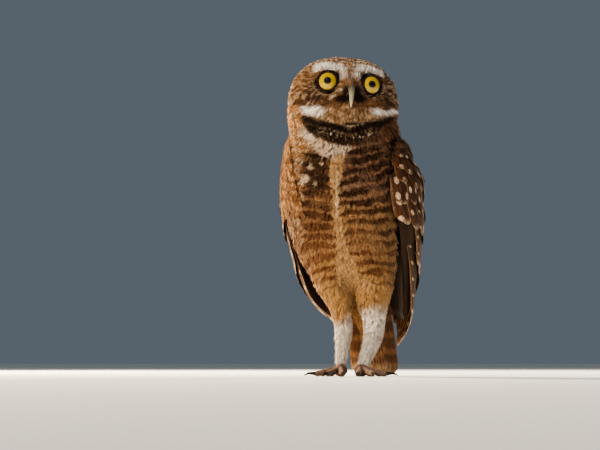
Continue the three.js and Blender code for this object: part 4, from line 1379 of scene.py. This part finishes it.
def wing_vanes(heap, name, tier, rng, sheet):
    """A tier of vanes that overlap from the wing's front edge to its back edge."""
    c = palette()
    kind, count = VANE_MARKS[tier["marks"]], tier["count"]
    net = FLIGHT if tier["marks"] == "flight" else COVERT
    place = np.arange(count) / (count - 1)
    root = mix(*tier["root"], place) + 0.8 * rng.normal(size=count)
    tip = evenly(tier["tip"])(place)[:, 0] + 1.0 * rng.normal(size=count)
    start = mix(*tier["span"], place)
    end = 0.5 + (start - 0.5) * tier.get("closing", 1)
    wide = tier["wide"] * (1 + 0.05 * rng.normal(size=count))
    along, across = net.along[None], net.across[None]
    z = mix(root[:, None], tip[:, None], along)
    sway = 0.012 * rng.normal(size=count)[:, None] * along**2
    half = wide[:, None] / 2 * across
    share = mix(start[:, None], end[:, None], along) + half / wing_chord(name, z) + sway
    tilt = -0.35 * across**2 - 0.42 * across
    out = wing_stand(name, share, z) + mix(tier["sunk"], tier["proud"], along) + tilt
    out = out + 0.12 * rng.normal(size=(count, 1)) + net.face[None] * 0.22 * (1 - 0.6 * along)
    shaft = 0.2 * np.exp(-((across / 0.12) ** 2)) * (1 - along) * (net.face[None] > 0)
    # Beside the breast the right wing's vanes are brown and sunk, under the small feathers that lap over them
    lapped = smooth(122, 134, z) * smooth(0.1, -0.15, share - 0.5 * smooth(126, 171, z)) * (name == "right")
    points = wing_point(name, share, z, np.maximum(out + shaft - 3.4 * lapped, WING["inner"] + 0.25))
    luck = rng.random(count)
    # Each vane's underside is darkened, as painted shade
    tone = (1 + 0.12 * rng.normal(size=count)).clip(0.7, 1.4)[:, None, None] * net.shade[None, :, None]
    phase = along * (root - tip)[:, None] / kind["spacing"] + rng.random(count)[:, None]
    ground = np.zeros(points.shape) + mix(c["brown"], c["dark"], 0.8)
    ground = over(ground, c["rust"], 0.35 * smooth(0.8, 1.0, along + 0.1 * np.abs(across)))
    marking = np.zeros(points.shape) + mix(c["cream"], c["ash"], 0.5)
    if tier["marks"] == "flight":
        ground = over(ground, c["tawny"], 0.25 * smooth(0.4, 1, np.abs(across)))
        ground = over(ground, c["rust"], 0.6 * (net.face[None] < 0))
        marking = np.zeros(points.shape) + mix(c["cream"], c["buff"], 0.6)
    size = kind["size"] * (0.5 + 0.9 * rng.random(count))[:, None]
    ground = over(ground, over(c["brown"], c["tawny"], smooth(-0.3, 0.8, ripple(points, 2.5))), lapped)
    heap.add(
        net, points, sheet.patches(net, count),
        place=side_by_side(along, across, luck[:, None]),
        marks=side_by_side(phase, size, kind["kind"]),
        ground=with_fourth(ground * tone, 0.5),
        marking=with_fourth(marking, kind["fringe"] * (1 - 0.5 * lapped)),
    )


def wing_laps(heap, name, rng, sheet):
    """Small body feathers that lap over the right wing's front edge, and over the left wing's top."""
    net, lap = SMALL, LAPS[name]
    low, first, count = lap["low"], lap["first"], lap["count"]
    z0 = rng.uniform(low, lap["high"], count)
    last = lap["last"] * (smooth(low, low + 45, z0) if name == "right" else 1)
    share0 = first + rng.random(count) * (last - first)
    long, wide = 9 * (1 + 0.15 * rng.normal(size=count)), 2.0 * (1 + 0.15 * rng.normal(size=count))
    along = net.along[None]
    z = z0[:, None] - long[:, None] * along
    share = share0[:, None] + (0.05 * along + 0.02 * rng.normal(size=(count, 1)) * along)
    share = share + wide[:, None] / 2 * net.across[None] / wing_chord(name, z)
    stand = wing_stand(name, share, z)
    if name == "right":
        rise = smooth(-0.55, -0.1, share) * (stand - 2.2) - 0.7 * smooth(-0.3, first, share)
    else:
        rise = mix(-2, stand - 0.4, smooth(0, 0.8, along))
    out = rise + 0.3 + 1.1 * along * (1 + 0.3 * rng.normal(size=(count, 1))) + 0.1 * net.face[None]
    points = wing_point(name, share, z, out)
    found = markings(points)
    # Each feather's underside is darkened, as painted shade
    tone = (1 + 0.14 * rng.normal(size=count)).clip(0.6, 1.5)[:, None, None] * net.shade[None, :, None]
    heap.add(
        net, points, sheet.small_patches(net, count),
        place=side_by_side(along, net.across[None], rng.random(count)[:, None]),
        marks=side_by_side(found["phase"], found["share"], found["kind"]),
        ground=with_fourth(found["ground"] * tone * LAP_TINT, found["streak"]),
        marking=with_fourth(found["marking"], found["fringe"]),
    )


def wing_core(heap, name, sheet):
    """The wing's flesh under its feathers, a little inside the solid's own, painted near black as the shade
    between its vanes.
    """
    c = palette()
    tip = [(1.0, side) for side in np.linspace(-1, 1, 9)]
    net = Net([(along, 1.0, 17) for along in np.linspace(0.04, 0.96, 26)], tip, 0.9)
    share = net.along
    z = mix(WING["top"] - 1, WING["core_end"], share)
    taper = share**6
    across = 0.5 - 0.1 * taper + net.across * (mix(0.41, 0.48, np.sin(pi * share)) - 0.22 * taper)
    under = through(SHELF)(z)[:, 0] + 0.8
    outer = np.maximum(wing_stand(name, across, z) - under, WING["inner"] + 0.8)
    inner = WING["inner"] + 0 * outer
    out = np.where(net.face > 0, outer, np.where(net.face < 0, inner, (outer + inner) / 2))
    points = wing_point(name, across, z, out)[None]
    # Near black, as painted shade that shows between the vanes
    tone = with_fourth(np.zeros(points.shape) + mix(c["dark"], c["black"], 0.5), 0)
    place = side_by_side(share[None], net.across[None], 0.5)
    heap.add(net, points, sheet.patches(net, 1), place=place, marks=0 * points, ground=tone, marking=tone)


# Tail


def tail_vanes(heap, rng, sheet):
    c = palette()
    net, count = FLIGHT, 12
    place = np.arange(count) - (count - 1) / 2
    share = place / (count - 1)
    layer = 0.5 * (2 * np.abs(place) + np.where(place < 0, 0.5, -0.5))
    reach = 1 - 2.2 * np.abs(2 * share) ** 2 / np.linalg.norm(TAIL_RUN)
    along, across = net.along[None], net.across[None]
    middle = share[:, None] * mix(TAIL["root_spread"], TAIL["tip_spread"], along)
    middle = middle + TAIL["aside"] * (1 - along)
    half = TAIL["vane"] / 2 * across * (1 + 0.03 * rng.normal(size=count))[:, None]
    behind = -layer[:, None] / 2 - 0.3 * across**2 + 0.25 * across - 0.45
    behind = behind + net.face[None] * 0.25 * (1 - 0.5 * along)
    points = tail_point(along * reach[:, None], middle + half, behind)
    points[..., 2] = np.maximum(points[..., 2], 0.05)
    luck = rng.random(count)
    run = TAIL["run"] * along * reach[:, None]
    phase = run / TAIL["bars"] + 0.12 * rng.normal(size=count)[:, None] + 0.06 * np.abs(share)[:, None]
    ground = np.zeros(points.shape) + mix(c["brown"], c["dark"], 0.25)
    ground = over(ground, mix(c["tawny"], c["cream"], 0.3), 0.95 * smooth(0.86, 0.95, along))
    heap.add(
        net, points, sheet.patches(net, count),
        place=side_by_side(along, across, luck[:, None]),
        marks=side_by_side(phase, 0.4, 0.0),
        ground=with_fourth(ground, 0.35),
        marking=with_fourth(np.zeros(points.shape) + mix(c["fawn"], c["brown"], 0.6), 0.35),
    )


# Where feathers are left out, and which part of the body carries each kind


def covered_by_wing(p):
    """Where a wing lies over the body, a little inside its edges."""
    z, around = p[..., 2], bearing(p)
    hidden = np.zeros(z.shape, bool)
    for name, wing in WINGS.items():
        lay = WING_CURVES[name][1](z)
        angle = around * wing["side"]
        hidden |= (angle > lay[..., 1] + 9) & (angle < lay[..., 2] - 9) & (z < WING["top"] - 6) & (z > 62)
    return hidden


def from_eyes(p):
    """How far points lie from each eye's line of sight, and how far along it."""
    for centre, looks in EYES.values():
        out = p - centre
        ahead = out @ looks
        yield np.linalg.norm(out - ahead[..., None] * looks, axis=-1), ahead


def near_eye(p, radius):
    return np.any([(far < radius) & (ahead > -4) for far, ahead in from_eyes(p)], axis=0)


def near_bill(p, margin):
    found = np.zeros(p.shape[:-1], bool)
    steps = np.linspace(0, 1, 24)
    for spots, base, tip in ((UPPER_BILL, 4.1, 0.7), (LOWER_BILL, 2.9, 0.9)):
        line = on_head(evenly(spots)(steps))
        radius = mix(base, tip, steps**1.5) + margin
        gap = np.linalg.norm(p[..., None, :] - line, axis=-1)
        found |= (gap < radius).any(-1)
    return found


def over_the_bill(heap, rng, count=190):
    """Narrow feathers that lie forwards over the root of the bill, on its top and both its sides."""
    c, net = palette(), LOCK
    curve = evenly(UPPER_BILL)
    table = np.linspace(0, 1, 60)
    _, _, up = bend_axes(on_head(curve(table)), HEAD_TURN[:, 0])
    angle = rng.uniform(-2, 2, count)
    first = 0.04 + 0.12 * rng.random(count)
    last = 0.37 - 0.06 * np.abs(angle) + 0.06 * rng.normal(size=count)
    along, across = net.along[None], net.across[None]
    share = mix(first[:, None], last[:, None], along)
    angle = angle[:, None] + 0.12 * across + 0.12 * rng.normal(size=(count, 1)) * along
    off = mix(4.1, 0.55, share**1.5) + 0.1
    off = off + (0.4 + 0.3 * rng.random((count, 1))) * along + 0.08 * net.face[None]
    ups = np.stack([np.interp(share, table, up[:, i]) for i in range(3)], -1)
    points = on_head(curve(share)) + HEAD_TURN[:, 0] * (0.86 * off * np.sin(angle))[..., None]
    points = points + ups * (off * np.cos(angle))[..., None]
    luck = rng.random(count)
    # Each feather's underside is darkened, as painted shade
    tone = mix(c["brown"], c["fawn"], luck[:, None] * 1.2)[:, None] * net.shade[None, :, None]
    tone = with_fourth(tone, 0.1)
    heap.add(
        net, points, small_patches(points[:, 0], net), place=side_by_side(along, across, luck[:, None]),
        marks=0 * points, ground=tone, marking=tone,
    )


def face_part(p):
    q = in_head(p)
    return (p[:, 2] > 188) & (q[:, 1] < -9 - 0.25 * np.maximum(q[:, 2] - 14, 0) ** 1.3) & (q[:, 2] < 29)


def head_part(p):
    return (p[:, 2] > 192) & ~face_part(p)


def neck_part(p):
    return (p[:, 2] > NECK_LOW) & ~head_part(p) & ~face_part(p)


def leg_part(p):
    return p[:, 2] < LEG_TOP


def trunk_part(p):
    return (p[:, 2] <= NECK_LOW) & (p[:, 2] >= LEG_TOP)


def back_part(p):
    return (np.abs(bearing(p)) > 95) & trunk_part(p)


def front_part(p):
    return trunk_part(p) & ~back_part(p)


# Operators


class OwlOperator(bpy.types.Operator):
    """What the operators of the owl share"""

    bl_options = {"REGISTER", "UNDO"}

    def execute(self, context):
        self.make(context)
        return {"FINISHED"}


class OWL_OT_stage(OwlOperator):
    """Adds the camera, the floor, the backdrop and soft light"""

    bl_idname = "owl.stage"
    bl_label = "Stage"

    def make(self, context):
        colours = context.scene.owl_colours
        place, aim = (packed(np.array(CAMERA[key], float)) for key in ("at", "aim"))
        lens = bpy.data.cameras.new("Camera")
        camera = bpy.data.objects.new("Camera", lens)
        context.scene.collection.objects.link(camera)
        camera.location = place
        camera.rotation_euler = Vector(aim - place).to_track_quat("-Z", "Y").to_euler()
        lens.sensor_width = 36
        lens.lens = 36 * np.linalg.norm(aim - place) / (CAMERA["wide"] * MM)
        lens.clip_start = 0.05
        context.scene.camera = camera
        context.scene.view_settings.look = "AgX - Medium High Contrast"

        deselect()
        bpy.ops.mesh.primitive_grid_add(x_subdivisions=8, y_subdivisions=8, size=60, location=(0, 0, -0.0002))
        floor = context.active_object
        floor.name = "floor"
        floor.data.materials.append(floor_material())
        bpy.ops.object.transform_apply(location=True)

        world = bpy.data.worlds.new("Studio")
        context.scene.world = world
        world.use_nodes = True
        background = world.node_tree.nodes["Background"]
        background.inputs["Color"].default_value = (*colours.backdrop, 1)
        background.inputs["Strength"].default_value = 1.0

        lamps = [  # name, place, what it is aimed at, size, power, colour, whether it is mirrored in the eyes
            ("Rim light", (-0.72, 0.8, 0.6), (0, 0, 0.13), 0.3, 78, (1.0, 0.82, 0.6), False),
            ("Key light", (-0.95, -0.9, 0.75), (0, 0, 0.13), 0.8, 24, (1.0, 0.87, 0.72), False),
            ("Fill light", (1.1, -1.1, 0.5), (0, 0, 0.12), 1.1, 4.5, (0.86, 0.92, 1.0), False),
            ("Back light", (0.6, 0.9, 0.8), (0, 0, 0.13), 0.5, 22, (1.0, 0.92, 0.82), False),
            ("Catch light", (-0.5, -1.0, 0.95), (0, 0, 0.2), 0.06, 0.5, (1.0, 0.97, 0.92), True),
        ]
        for name, at, towards, size, power, tint, mirrored in lamps:
            lamp = bpy.data.lights.new(name, "AREA")
            lamp.shape = "DISK"
            lamp.size = size
            lamp.energy = power
            lamp.color = tint
            light = bpy.data.objects.new(name, lamp)
            context.scene.collection.objects.link(light)
            light.visible_glossy = mirrored
            light.location = at
            light.rotation_euler = (Vector(towards) - Vector(at)).to_track_quat("-Z", "Y").to_euler()
        sky = bpy.data.lights.new("Sky light", "SUN")
        sky.angle = radians(90)
        sky.energy = 0.45
        sky.color = (0.93, 0.97, 1.0)
        light = bpy.data.objects.new("Sky light", sky)
        context.scene.collection.objects.link(light)
        light.visible_glossy = False


GROUND = {}


class OWL_OT_skin(OwlOperator):
    """Makes the skin under the plumage of head, neck, trunk and legs"""

    bl_idname = "owl.skin"
    bl_label = "Skin"

    def make(self, context):
        skin = make_skin()
        GROUND["skin"] = ground = Ground(skin)
        found = markings(ground.points)
        colours = np.concatenate([found["ground"], np.ones((len(ground.points), 1))], 1)
        set_attribute(skin.data, "ground", "FLOAT_COLOR", colours)
        corners = ground.points[ground.triangles]
        on_leg = np.broadcast_to((corners[..., 2].max(1) < LEG_TOP)[:, None], corners.shape[:2])
        uv = unwrap(corners, on_leg)
        seam = (uv[..., 0].max(1) - uv[..., 0].min(1) > 0.3) & ~on_leg[:, 0]
        uv[seam, :, 0] = np.where(uv[seam, :, 0] < 0.39, uv[seam, :, 0] + 0.78, uv[seam, :, 0])
        layer = skin.data.uv_layers.new(name="OFBake")
        layer.data.foreach_set("uv", uv.astype(np.float32).ravel())
        finished(skin, "body_plumage", skin_material(), *FLESH)


class OWL_OT_head_feathers(OwlOperator):
    """Grows the feathers of the face, the crown and the nape"""

    bl_idname = "owl.head_feathers"
    bl_label = "Head feathers"

    def make(self, context):
        ground, rng = GROUND["skin"], np.random.default_rng(SEED + 1)
        dress = ("head_plumage", plumage_material("Head plumage", 0.75, 0.18, 0.6))

        def shorter_by_the_eye(p):
            return mix(0.5, 1.15, smooth(7, 16, np.min([far for far, _ in from_eyes(p)], axis=0)))

        def bristle_marks(p):
            found = markings(p)
            u, v = seen(p)
            pale = smooth(-0.3, 0.5, ripple(p, 2.2)) * smooth(211, 213, v) * np.where(u < 7, 1, 0.5)
            c = palette()
            # Painted shadow: the bristles beside the bill are darkened most of the way to black, then pale
            # whiskers are laid over
            found["ground"] = over(mix(found["ground"], c["black"], 0.7), c["cream"], 0.85 * pale)
            return found

        face = lambda p: face_part(p) & ~near_eye(p, EYE_OPENING) & ~near_bill(p, -1.2)
        bristly = lambda p: face(p) & near_bill(p, 5.5) & (in_head(p)[:, 2] > 3)
        on_face = dict(long=4.6, wide=1.35, sway=0.16, ruffle=0.22, tone=0.16, whole=0.1)
        on_face["scale"] = shorter_by_the_eye
        bristle = dict(long=7.5, wide=0.32, sway=0.35, ruffle=1.0, lift=1.5, vary=0.25)
        crown = dict(long=7.5, wide=3.6, sway=0.14, thick=0.12, spotted=0.65)
        fine = dict(long=6.5, wide=1.7, sway=0.2, ruffle=0.4, lift=1.0, spotted=0.35, whole=0.1)
        for name, part, net, spacing, size, marks in (
            ("feathers_face", face, SMALL, 0.95, on_face, markings),
            ("bristles", bristly, DOWN, 1.5, bristle, bristle_marks),
            ("feathers_crown", head_part, CONTOUR, 2.1, crown, markings),
            ("feathers_crown_fine", head_part, SMALL, 1.5, fine, markings),
        ):
            grow_piece(name, ground, part, spacing, net, dict(thick=0.1) | size, rng, dress, marks)
        heap = Heap()
        over_the_bill(heap, np.random.default_rng(SEED + 40))
        finished(heap.piece("bill_tufts"), *dress)


class OWL_OT_body_feathers(OwlOperator):
    """Grows the feathers of the neck, breast, belly and back"""

    bl_idname = "owl.body_feathers"
    bl_label = "Body feathers"

    def make(self, context):
        ground, rng = GROUND["skin"], np.random.default_rng(SEED + 2)
        dress = ("body_plumage", plumage_material("Body plumage", 0.78, 0.25))
        fine = dict(sway=0.18, ruffle=0.4, lift=1.0, vary=0.2, whole=0.1, tone=0.12, jitter=0.03, spotted=0.3)
        neck = dict(long=10, wide=4.2, sway=0.16, thick=0.14, lift=0.8)
        front = dict(long=14, wide=7.5, sway=0.12, thick=0.18, lift=0.82)
        back = dict(long=15, wide=8, sway=0.1, thick=0.2, spotted=0.6)
        breast = lambda p: front_part(p) & (p[:, 2] > 118)
        belly = lambda p: front_part(p) & (p[:, 2] <= 118)
        for name, part, net, spacing, size in (
            ("feathers_neck", neck_part, CONTOUR, 2.6, neck),
            ("feathers_front", front_part, CONTOUR, 3.2, front),
            ("feathers_back", back_part, CONTOUR, 3.0, back),
            ("feathers_neck_fine", neck_part, SMALL, 1.15, dict(fine, long=7, wide=1.5, thick=0.1)),
            ("feathers_breast_fine", breast, SMALL, 1.2, dict(fine, long=9.5, wide=1.8, thick=0.12)),
            ("feathers_belly_fine", belly, SMALL, 1.2, dict(fine, long=9.5, wide=1.9, thick=0.12)),
        ):
            uncovered = lambda p, part=part: part(p) & ~covered_by_wing(p)
            grow_piece(name, ground, uncovered, spacing, net, size, rng, dress)


class OWL_OT_leg_feathers(OwlOperator):
    """Grows the soft feathers of the thighs and the down of the shanks"""

    bl_idname = "owl.leg_feathers"
    bl_label = "Leg feathers"

    def make(self, context):
        ground, rng = GROUND["skin"], np.random.default_rng(SEED + 3)
        dress = ("leg_plumage", plumage_material("Leg plumage", 0.82, 0.35, 0.75))
        thigh = lambda p: leg_part(p) & (p[:, 2] > HEEL + 4)
        shank = lambda p: leg_part(p) & (p[:, 2] <= HEEL + 4)
        soft = dict(long=9, wide=1.8, sway=0.16, ruffle=0.35, thick=0.12, lift=1.0, whole=0.1)
        down = dict(long=4.8, wide=0.7, sway=0.3, ruffle=0.8, thick=0.1, lift=1.0, vary=0.3, tone=0.2)
        down["whole"] = soft["whole"]
        grow_piece("feathers_thighs", ground, thigh, 1.15, SMALL, soft, rng, dress)
        grow_piece("down_shanks", ground, shank, 0.66, LOCK, down, rng, dress)


class OWL_OT_wings(OwlOperator):
    """Builds both folded wings, vane by vane, in tiers"""

    bl_idname = "owl.wings"
    bl_label = "Wings"

    def make(self, context):
        material = plumage_material("Wing feathers", 0.62, 0.06)
        for k, name in enumerate(WINGS):
            rng = np.random.default_rng(SEED + 5 + k)
            heap, sheet = Heap(), Sheet(10)
            wing_core(heap, name, sheet)
            for tier in TIERS.values():
                wing_vanes(heap, name, tier, rng, sheet)
            wing_laps(heap, name, rng, sheet)
            finished(heap.piece("plumes_wing_" + name), "wing_feathers", material, "wing_" + name)


class OWL_OT_tail(OwlOperator):
    """Builds the tail's twelve barred vanes"""

    bl_idname = "owl.tail"
    bl_label = "Tail"

    def make(self, context):
        heap = Heap()
        tail_vanes(heap, np.random.default_rng(SEED + 9), Sheet(4))
        material = plumage_material("Tail feathers", 0.62, 0.06)
        finished(heap.piece("plumes_tail"), "tail_feathers", material, "tail")


def eyeball_mesh(name, centre, aim):
    across = unit(np.cross(aim, [0, 0, 1]))
    up = np.cross(across, aim)
    tilt = np.linspace(0.02, pi - 0.02, 56)
    radius = EYE["ball"] + EYE["cornea"] * np.exp(-((tilt / EYE["spread"]) ** 2))
    centres = centre + aim * (radius * np.cos(tilt))[:, None]
    round_it = radius * np.sin(tilt)
    mesh = rings("eyeball_" + name, centres, across, up, (round_it, round_it), 64)
    points = mesh_array(mesh, "vertices", "co", 3) / MM - SHIFT - centre
    set_attribute(mesh, "gaze", "FLOAT_VECTOR", np.stack([points @ across, points @ up, points @ aim], 1))
    return mesh


def lids_mesh(name, centre, looks, around=72):
    across = unit(np.cross(looks, [0, 0, 1]))
    up = np.cross(across, looks)
    inner, outer, rim = LID["inner"], LID["outer"], LID["rim"]
    profile = [  # how far from the eye's middle, and how far ahead
        (inner - 0.1, rim - 1.6),
        (inner - 0.05, rim - 0.55),
        (inner + 0.25, rim - 0.1),
        (inner + 0.75, rim + 0.12),
        (outer - 0.4, rim - 0.05),
        (outer, rim - 0.8),
        (outer + 0.7, rim - 2.0),
        (LID["skirt"], rim - 4.2),
        (outer, rim - 4.4),
    ]
    angle = 2 * pi * np.arange(around) / around
    points = []
    for radius, high in profile:
        # The upper lid reaches a little further over the eye than the lower
        over_eye = -0.35 * max(0.0, 1 - (radius - inner) / 2)
        reach = radius + over_eye * np.clip(np.sin(angle), 0, 1) ** 2
        ring = centre + looks * (high + 0.12 * np.sin(9 * angle)[:, None] * (radius > inner + 0.5))
        ring = ring + across * (reach * np.cos(angle))[:, None] + up * (reach * np.sin(angle))[:, None]
        points.append(ring)
    rows = len(profile)
    return outward(net_mesh("lids_" + name, np.concatenate(points), ring_faces(rows, rows, around)))


class OWL_OT_eyes(OwlOperator):
    """Makes both eyeballs and the rings of their lids"""

    bl_idname = "owl.eyes"
    bl_label = "Eyes"

    def make(self, context):
        eye, lid = eye_material(), lid_material()
        for name, (centre, looks) in EYES.items():
            ball = eyeball_mesh(name, centre, unit(looks + np.array(GAZE[name])))
            finished(new_piece("eyeball_" + name, ball), "eye", eye, "eye_" + name)
            finished(new_piece("lids_" + name, lids_mesh(name, centre, looks)), "head_plumage", lid)


def bend_axes(line, side):
    run = unit(np.gradient(line, axis=0))
    across = np.repeat(side[None], len(line), 0)
    across = unit(across - run * (across * run).sum(1, keepdims=True))
    return run, across, np.cross(run, across)


def mark_along(mesh, share, around):
    """Notes on a body's rings how far along it they are, and on their points the side of it."""
    n = len(share) * around
    place = np.zeros((len(mesh.vertices), 3))
    place[:n, 0] = np.repeat(share, around)
    place[:n, 1] = np.tile(np.sin(2 * pi * np.arange(around) / around), len(share))
    place[n + 1, 0] = 1
    set_attribute(mesh, "place", "FLOAT_VECTOR", place)


def nostrils(points):
    """Presses two small hollows into the upper half of the bill."""
    for side in (1, -1):
        gap = np.linalg.norm(points - on_head((side * 3.4, -34.2, 9.3)), axis=-1)
        inward = unit(points.mean(1, keepdims=True) - points)
        points = points + inward * (0.9 * np.exp(-((gap / 0.8) ** 2)))[..., None]
    return points


class OWL_OT_bill(OwlOperator):
    """Makes both halves of the bill, with its nostrils"""

    bl_idname = "owl.bill"
    bl_label = "Bill"

    def make(self, context):
        horn, around = bill_material(), 40
        share = np.linspace(0, 1, 48)
        rounded = np.sqrt(np.clip(1 - ((share - 0.94) / 0.06).clip(0, 1) ** 2, 0.02, 1))
        for name, spots, base, tip, power, shape in (
            ("upper", UPPER_BILL, 4.1, 0.55, 1.5, nostrils),
            ("lower", LOWER_BILL, 2.9, 0.8, 1.6, None),
        ):
            line = on_head(evenly(spots)(share))
            radius = mix(base, tip, share**power) * rounded
            _, across, up = bend_axes(line, HEAD_TURN[:, 0])
            radii = (radius * mix(0.84, 0.76, share), radius * mix(1, 1.1, share))
            mesh = rings("horn_" + name, line, across, up, radii, around, shape)
            mark_along(mesh, share, around)
            finished(new_piece("horn_" + name, mesh), "bill_horn", horn, "bill_" + name)


def toe_line(foot, toe, shares):
    heading = radians(foot["turned"] + toe[0])
    ahead = np.array([sin(heading), -cos(heading), 0])
    top, low = FOOT["palm_height"], FOOT["low"]
    high = through([(0, top), (0.35, top), (0.6, low + 1.1), (0.82, low + 0.5), (1, low)])(shares)
    line = np.array([foot["x"], foot["y"], 0]) + ahead * ((FOOT["palm"] + toe[1]) * shares)[:, None]
    line[:, 2] = high[:, 0]
    return line, ahead


def on_floor(points):
    points[..., 2] = np.maximum(points[..., 2], 0.0)
    return points


def toe_mesh(foot, toe):
    share = np.linspace(0, 1, 44)
    line, ahead = toe_line(foot, toe, share)
    radius = mix(FOOT["toe"], FOOT["toe_tip"], share)
    radius = radius + FOOT["pad"] * np.maximum(0, np.sin(share * 4 * pi - 0.6)) ** 2
    radius = radius * np.sqrt(np.clip(1 - ((share - 0.93) / 0.07).clip(0, 1) ** 2, 0.03, 1))
    _, across, up = bend_axes(line, np.array([-ahead[1], ahead[0], 0]))
    scutes = 0.13 * np.abs(np.sin(share * (5 + toe[1]) * 2.3))

    def shape(points):
        high = points[..., 2] - line[:, None, 2]
        out = unit(points - line[:, None])
        return on_floor(points + out * (scutes[:, None] * smooth(0.3, 1.5, high))[..., None])

    return rings("toe", line, across, up, (radius, radius), 26, shape)


def palm_mesh(foot):
    tilt = np.linspace(0.03, pi - 0.03, 22)
    centres = np.array([foot["x"], foot["y"], FOOT["palm_height"]])
    centres = centres + np.array([0, 0, 1]) * (FOOT["palm_height"] * np.cos(tilt))[:, None]
    radius = FOOT["palm"] * np.sin(tilt)
    return rings("palm", centres, (1, 0, 0), (0, 1, 0), (radius, radius), 32)


def claw_mesh(name, foot, toe, around=18):
    end, ahead = toe_line(foot, toe, np.array([0.0, 1.0]))
    rise, low = CLAW["rise"], FOOT["low"]
    steps = [(-0.3, low), (0.1, low + 0.5), (0.45, rise + 0.2), (0.75, rise - 0.7), (0.94, CLAW["down"])]
    spots = [(far, *(end[1, :2] + ahead[:2] * far * CLAW["length"]), high) for far, high in steps]
    line = through(spots)(np.linspace(steps[0][0], steps[-1][0], 30))
    share = np.linspace(0, 1, 30)
    radius = mix(CLAW["thick"], CLAW["tip"], share**1.3) * np.sqrt(1 - (share * 0.99) ** 12)
    _, across, up = bend_axes(line, np.array([-ahead[1], ahead[0], 0]))
    mesh = rings(name, line, across, up, (radius * 0.92, radius * 1.05), around, on_floor)
    mark_along(mesh, share, around)
    return mesh


class OWL_OT_feet(OwlOperator):
    """Makes the palms and toes, with their scutes, and the claws"""

    bl_idname = "owl.feet"
    bl_label = "Feet"

    def make(self, context):
        skin, horn = toe_material(), claw_material()
        for name, foot in FEET.items():
            bm = bmesh.new()
            for mesh in [*(toe_mesh(foot, toe) for toe in foot["toes"]), palm_mesh(foot)]:
                bm.from_mesh(mesh)
            whole = bpy.data.meshes.new("toes_" + name)
            bm.to_mesh(whole)
            bm.free()
            whole.polygons.foreach_set("use_smooth", [True] * len(whole.polygons))
            finished(new_piece("toes_" + name, whole), "foot_skin", skin, "foot_" + name)
            for i, toe in enumerate(foot["toes"], 1):
                piece = new_piece(f"talon_{name}_{i}", claw_mesh(f"talon_{name}_{i}", foot, toe))
                finished(piece, "claw_horn", horn, f"claw_{name}_{i}")


STEPS = (
    OWL_OT_stage,
    OWL_OT_skin,
    OWL_OT_head_feathers,
    OWL_OT_body_feathers,
    OWL_OT_leg_feathers,
    OWL_OT_wings,
    OWL_OT_tail,
    OWL_OT_eyes,
    OWL_OT_bill,
    OWL_OT_feet,
)


class OWL_PT_panel(bpy.types.Panel):
    """Lists the steps that dress the owl, and its values"""

    bl_label = "Burrowing owl"
    bl_idname = "OWL_PT_panel"
    bl_space_type = "VIEW_3D"
    bl_region_type = "UI"
    bl_category = "Owl"

    def draw(self, context):
        for step in STEPS:
            self.layout.operator(step.bl_idname)
        for group in (context.scene.owl_sizes, context.scene.owl_colours):
            box = self.layout.box()
            for key in group.__annotations__:
                box.prop(group, key)


CLASSES = (OwlSizes, OwlColours, *STEPS, OWL_PT_panel)


def register():
    for item in CLASSES:
        bpy.utils.register_class(item)
    bpy.types.Scene.owl_sizes = bpy.props.PointerProperty(type=OwlSizes)
    bpy.types.Scene.owl_colours = bpy.props.PointerProperty(type=OwlColours)


def unregister():
    del bpy.types.Scene.owl_colours
    del bpy.types.Scene.owl_sizes
    for item in reversed(CLASSES):
        bpy.utils.unregister_class(item)


def main():
    register()
    for step in STEPS:
        group, name = step.bl_idname.split(".")
        getattr(getattr(bpy.ops, group), name)()


if __name__ == "__main__":
    main()
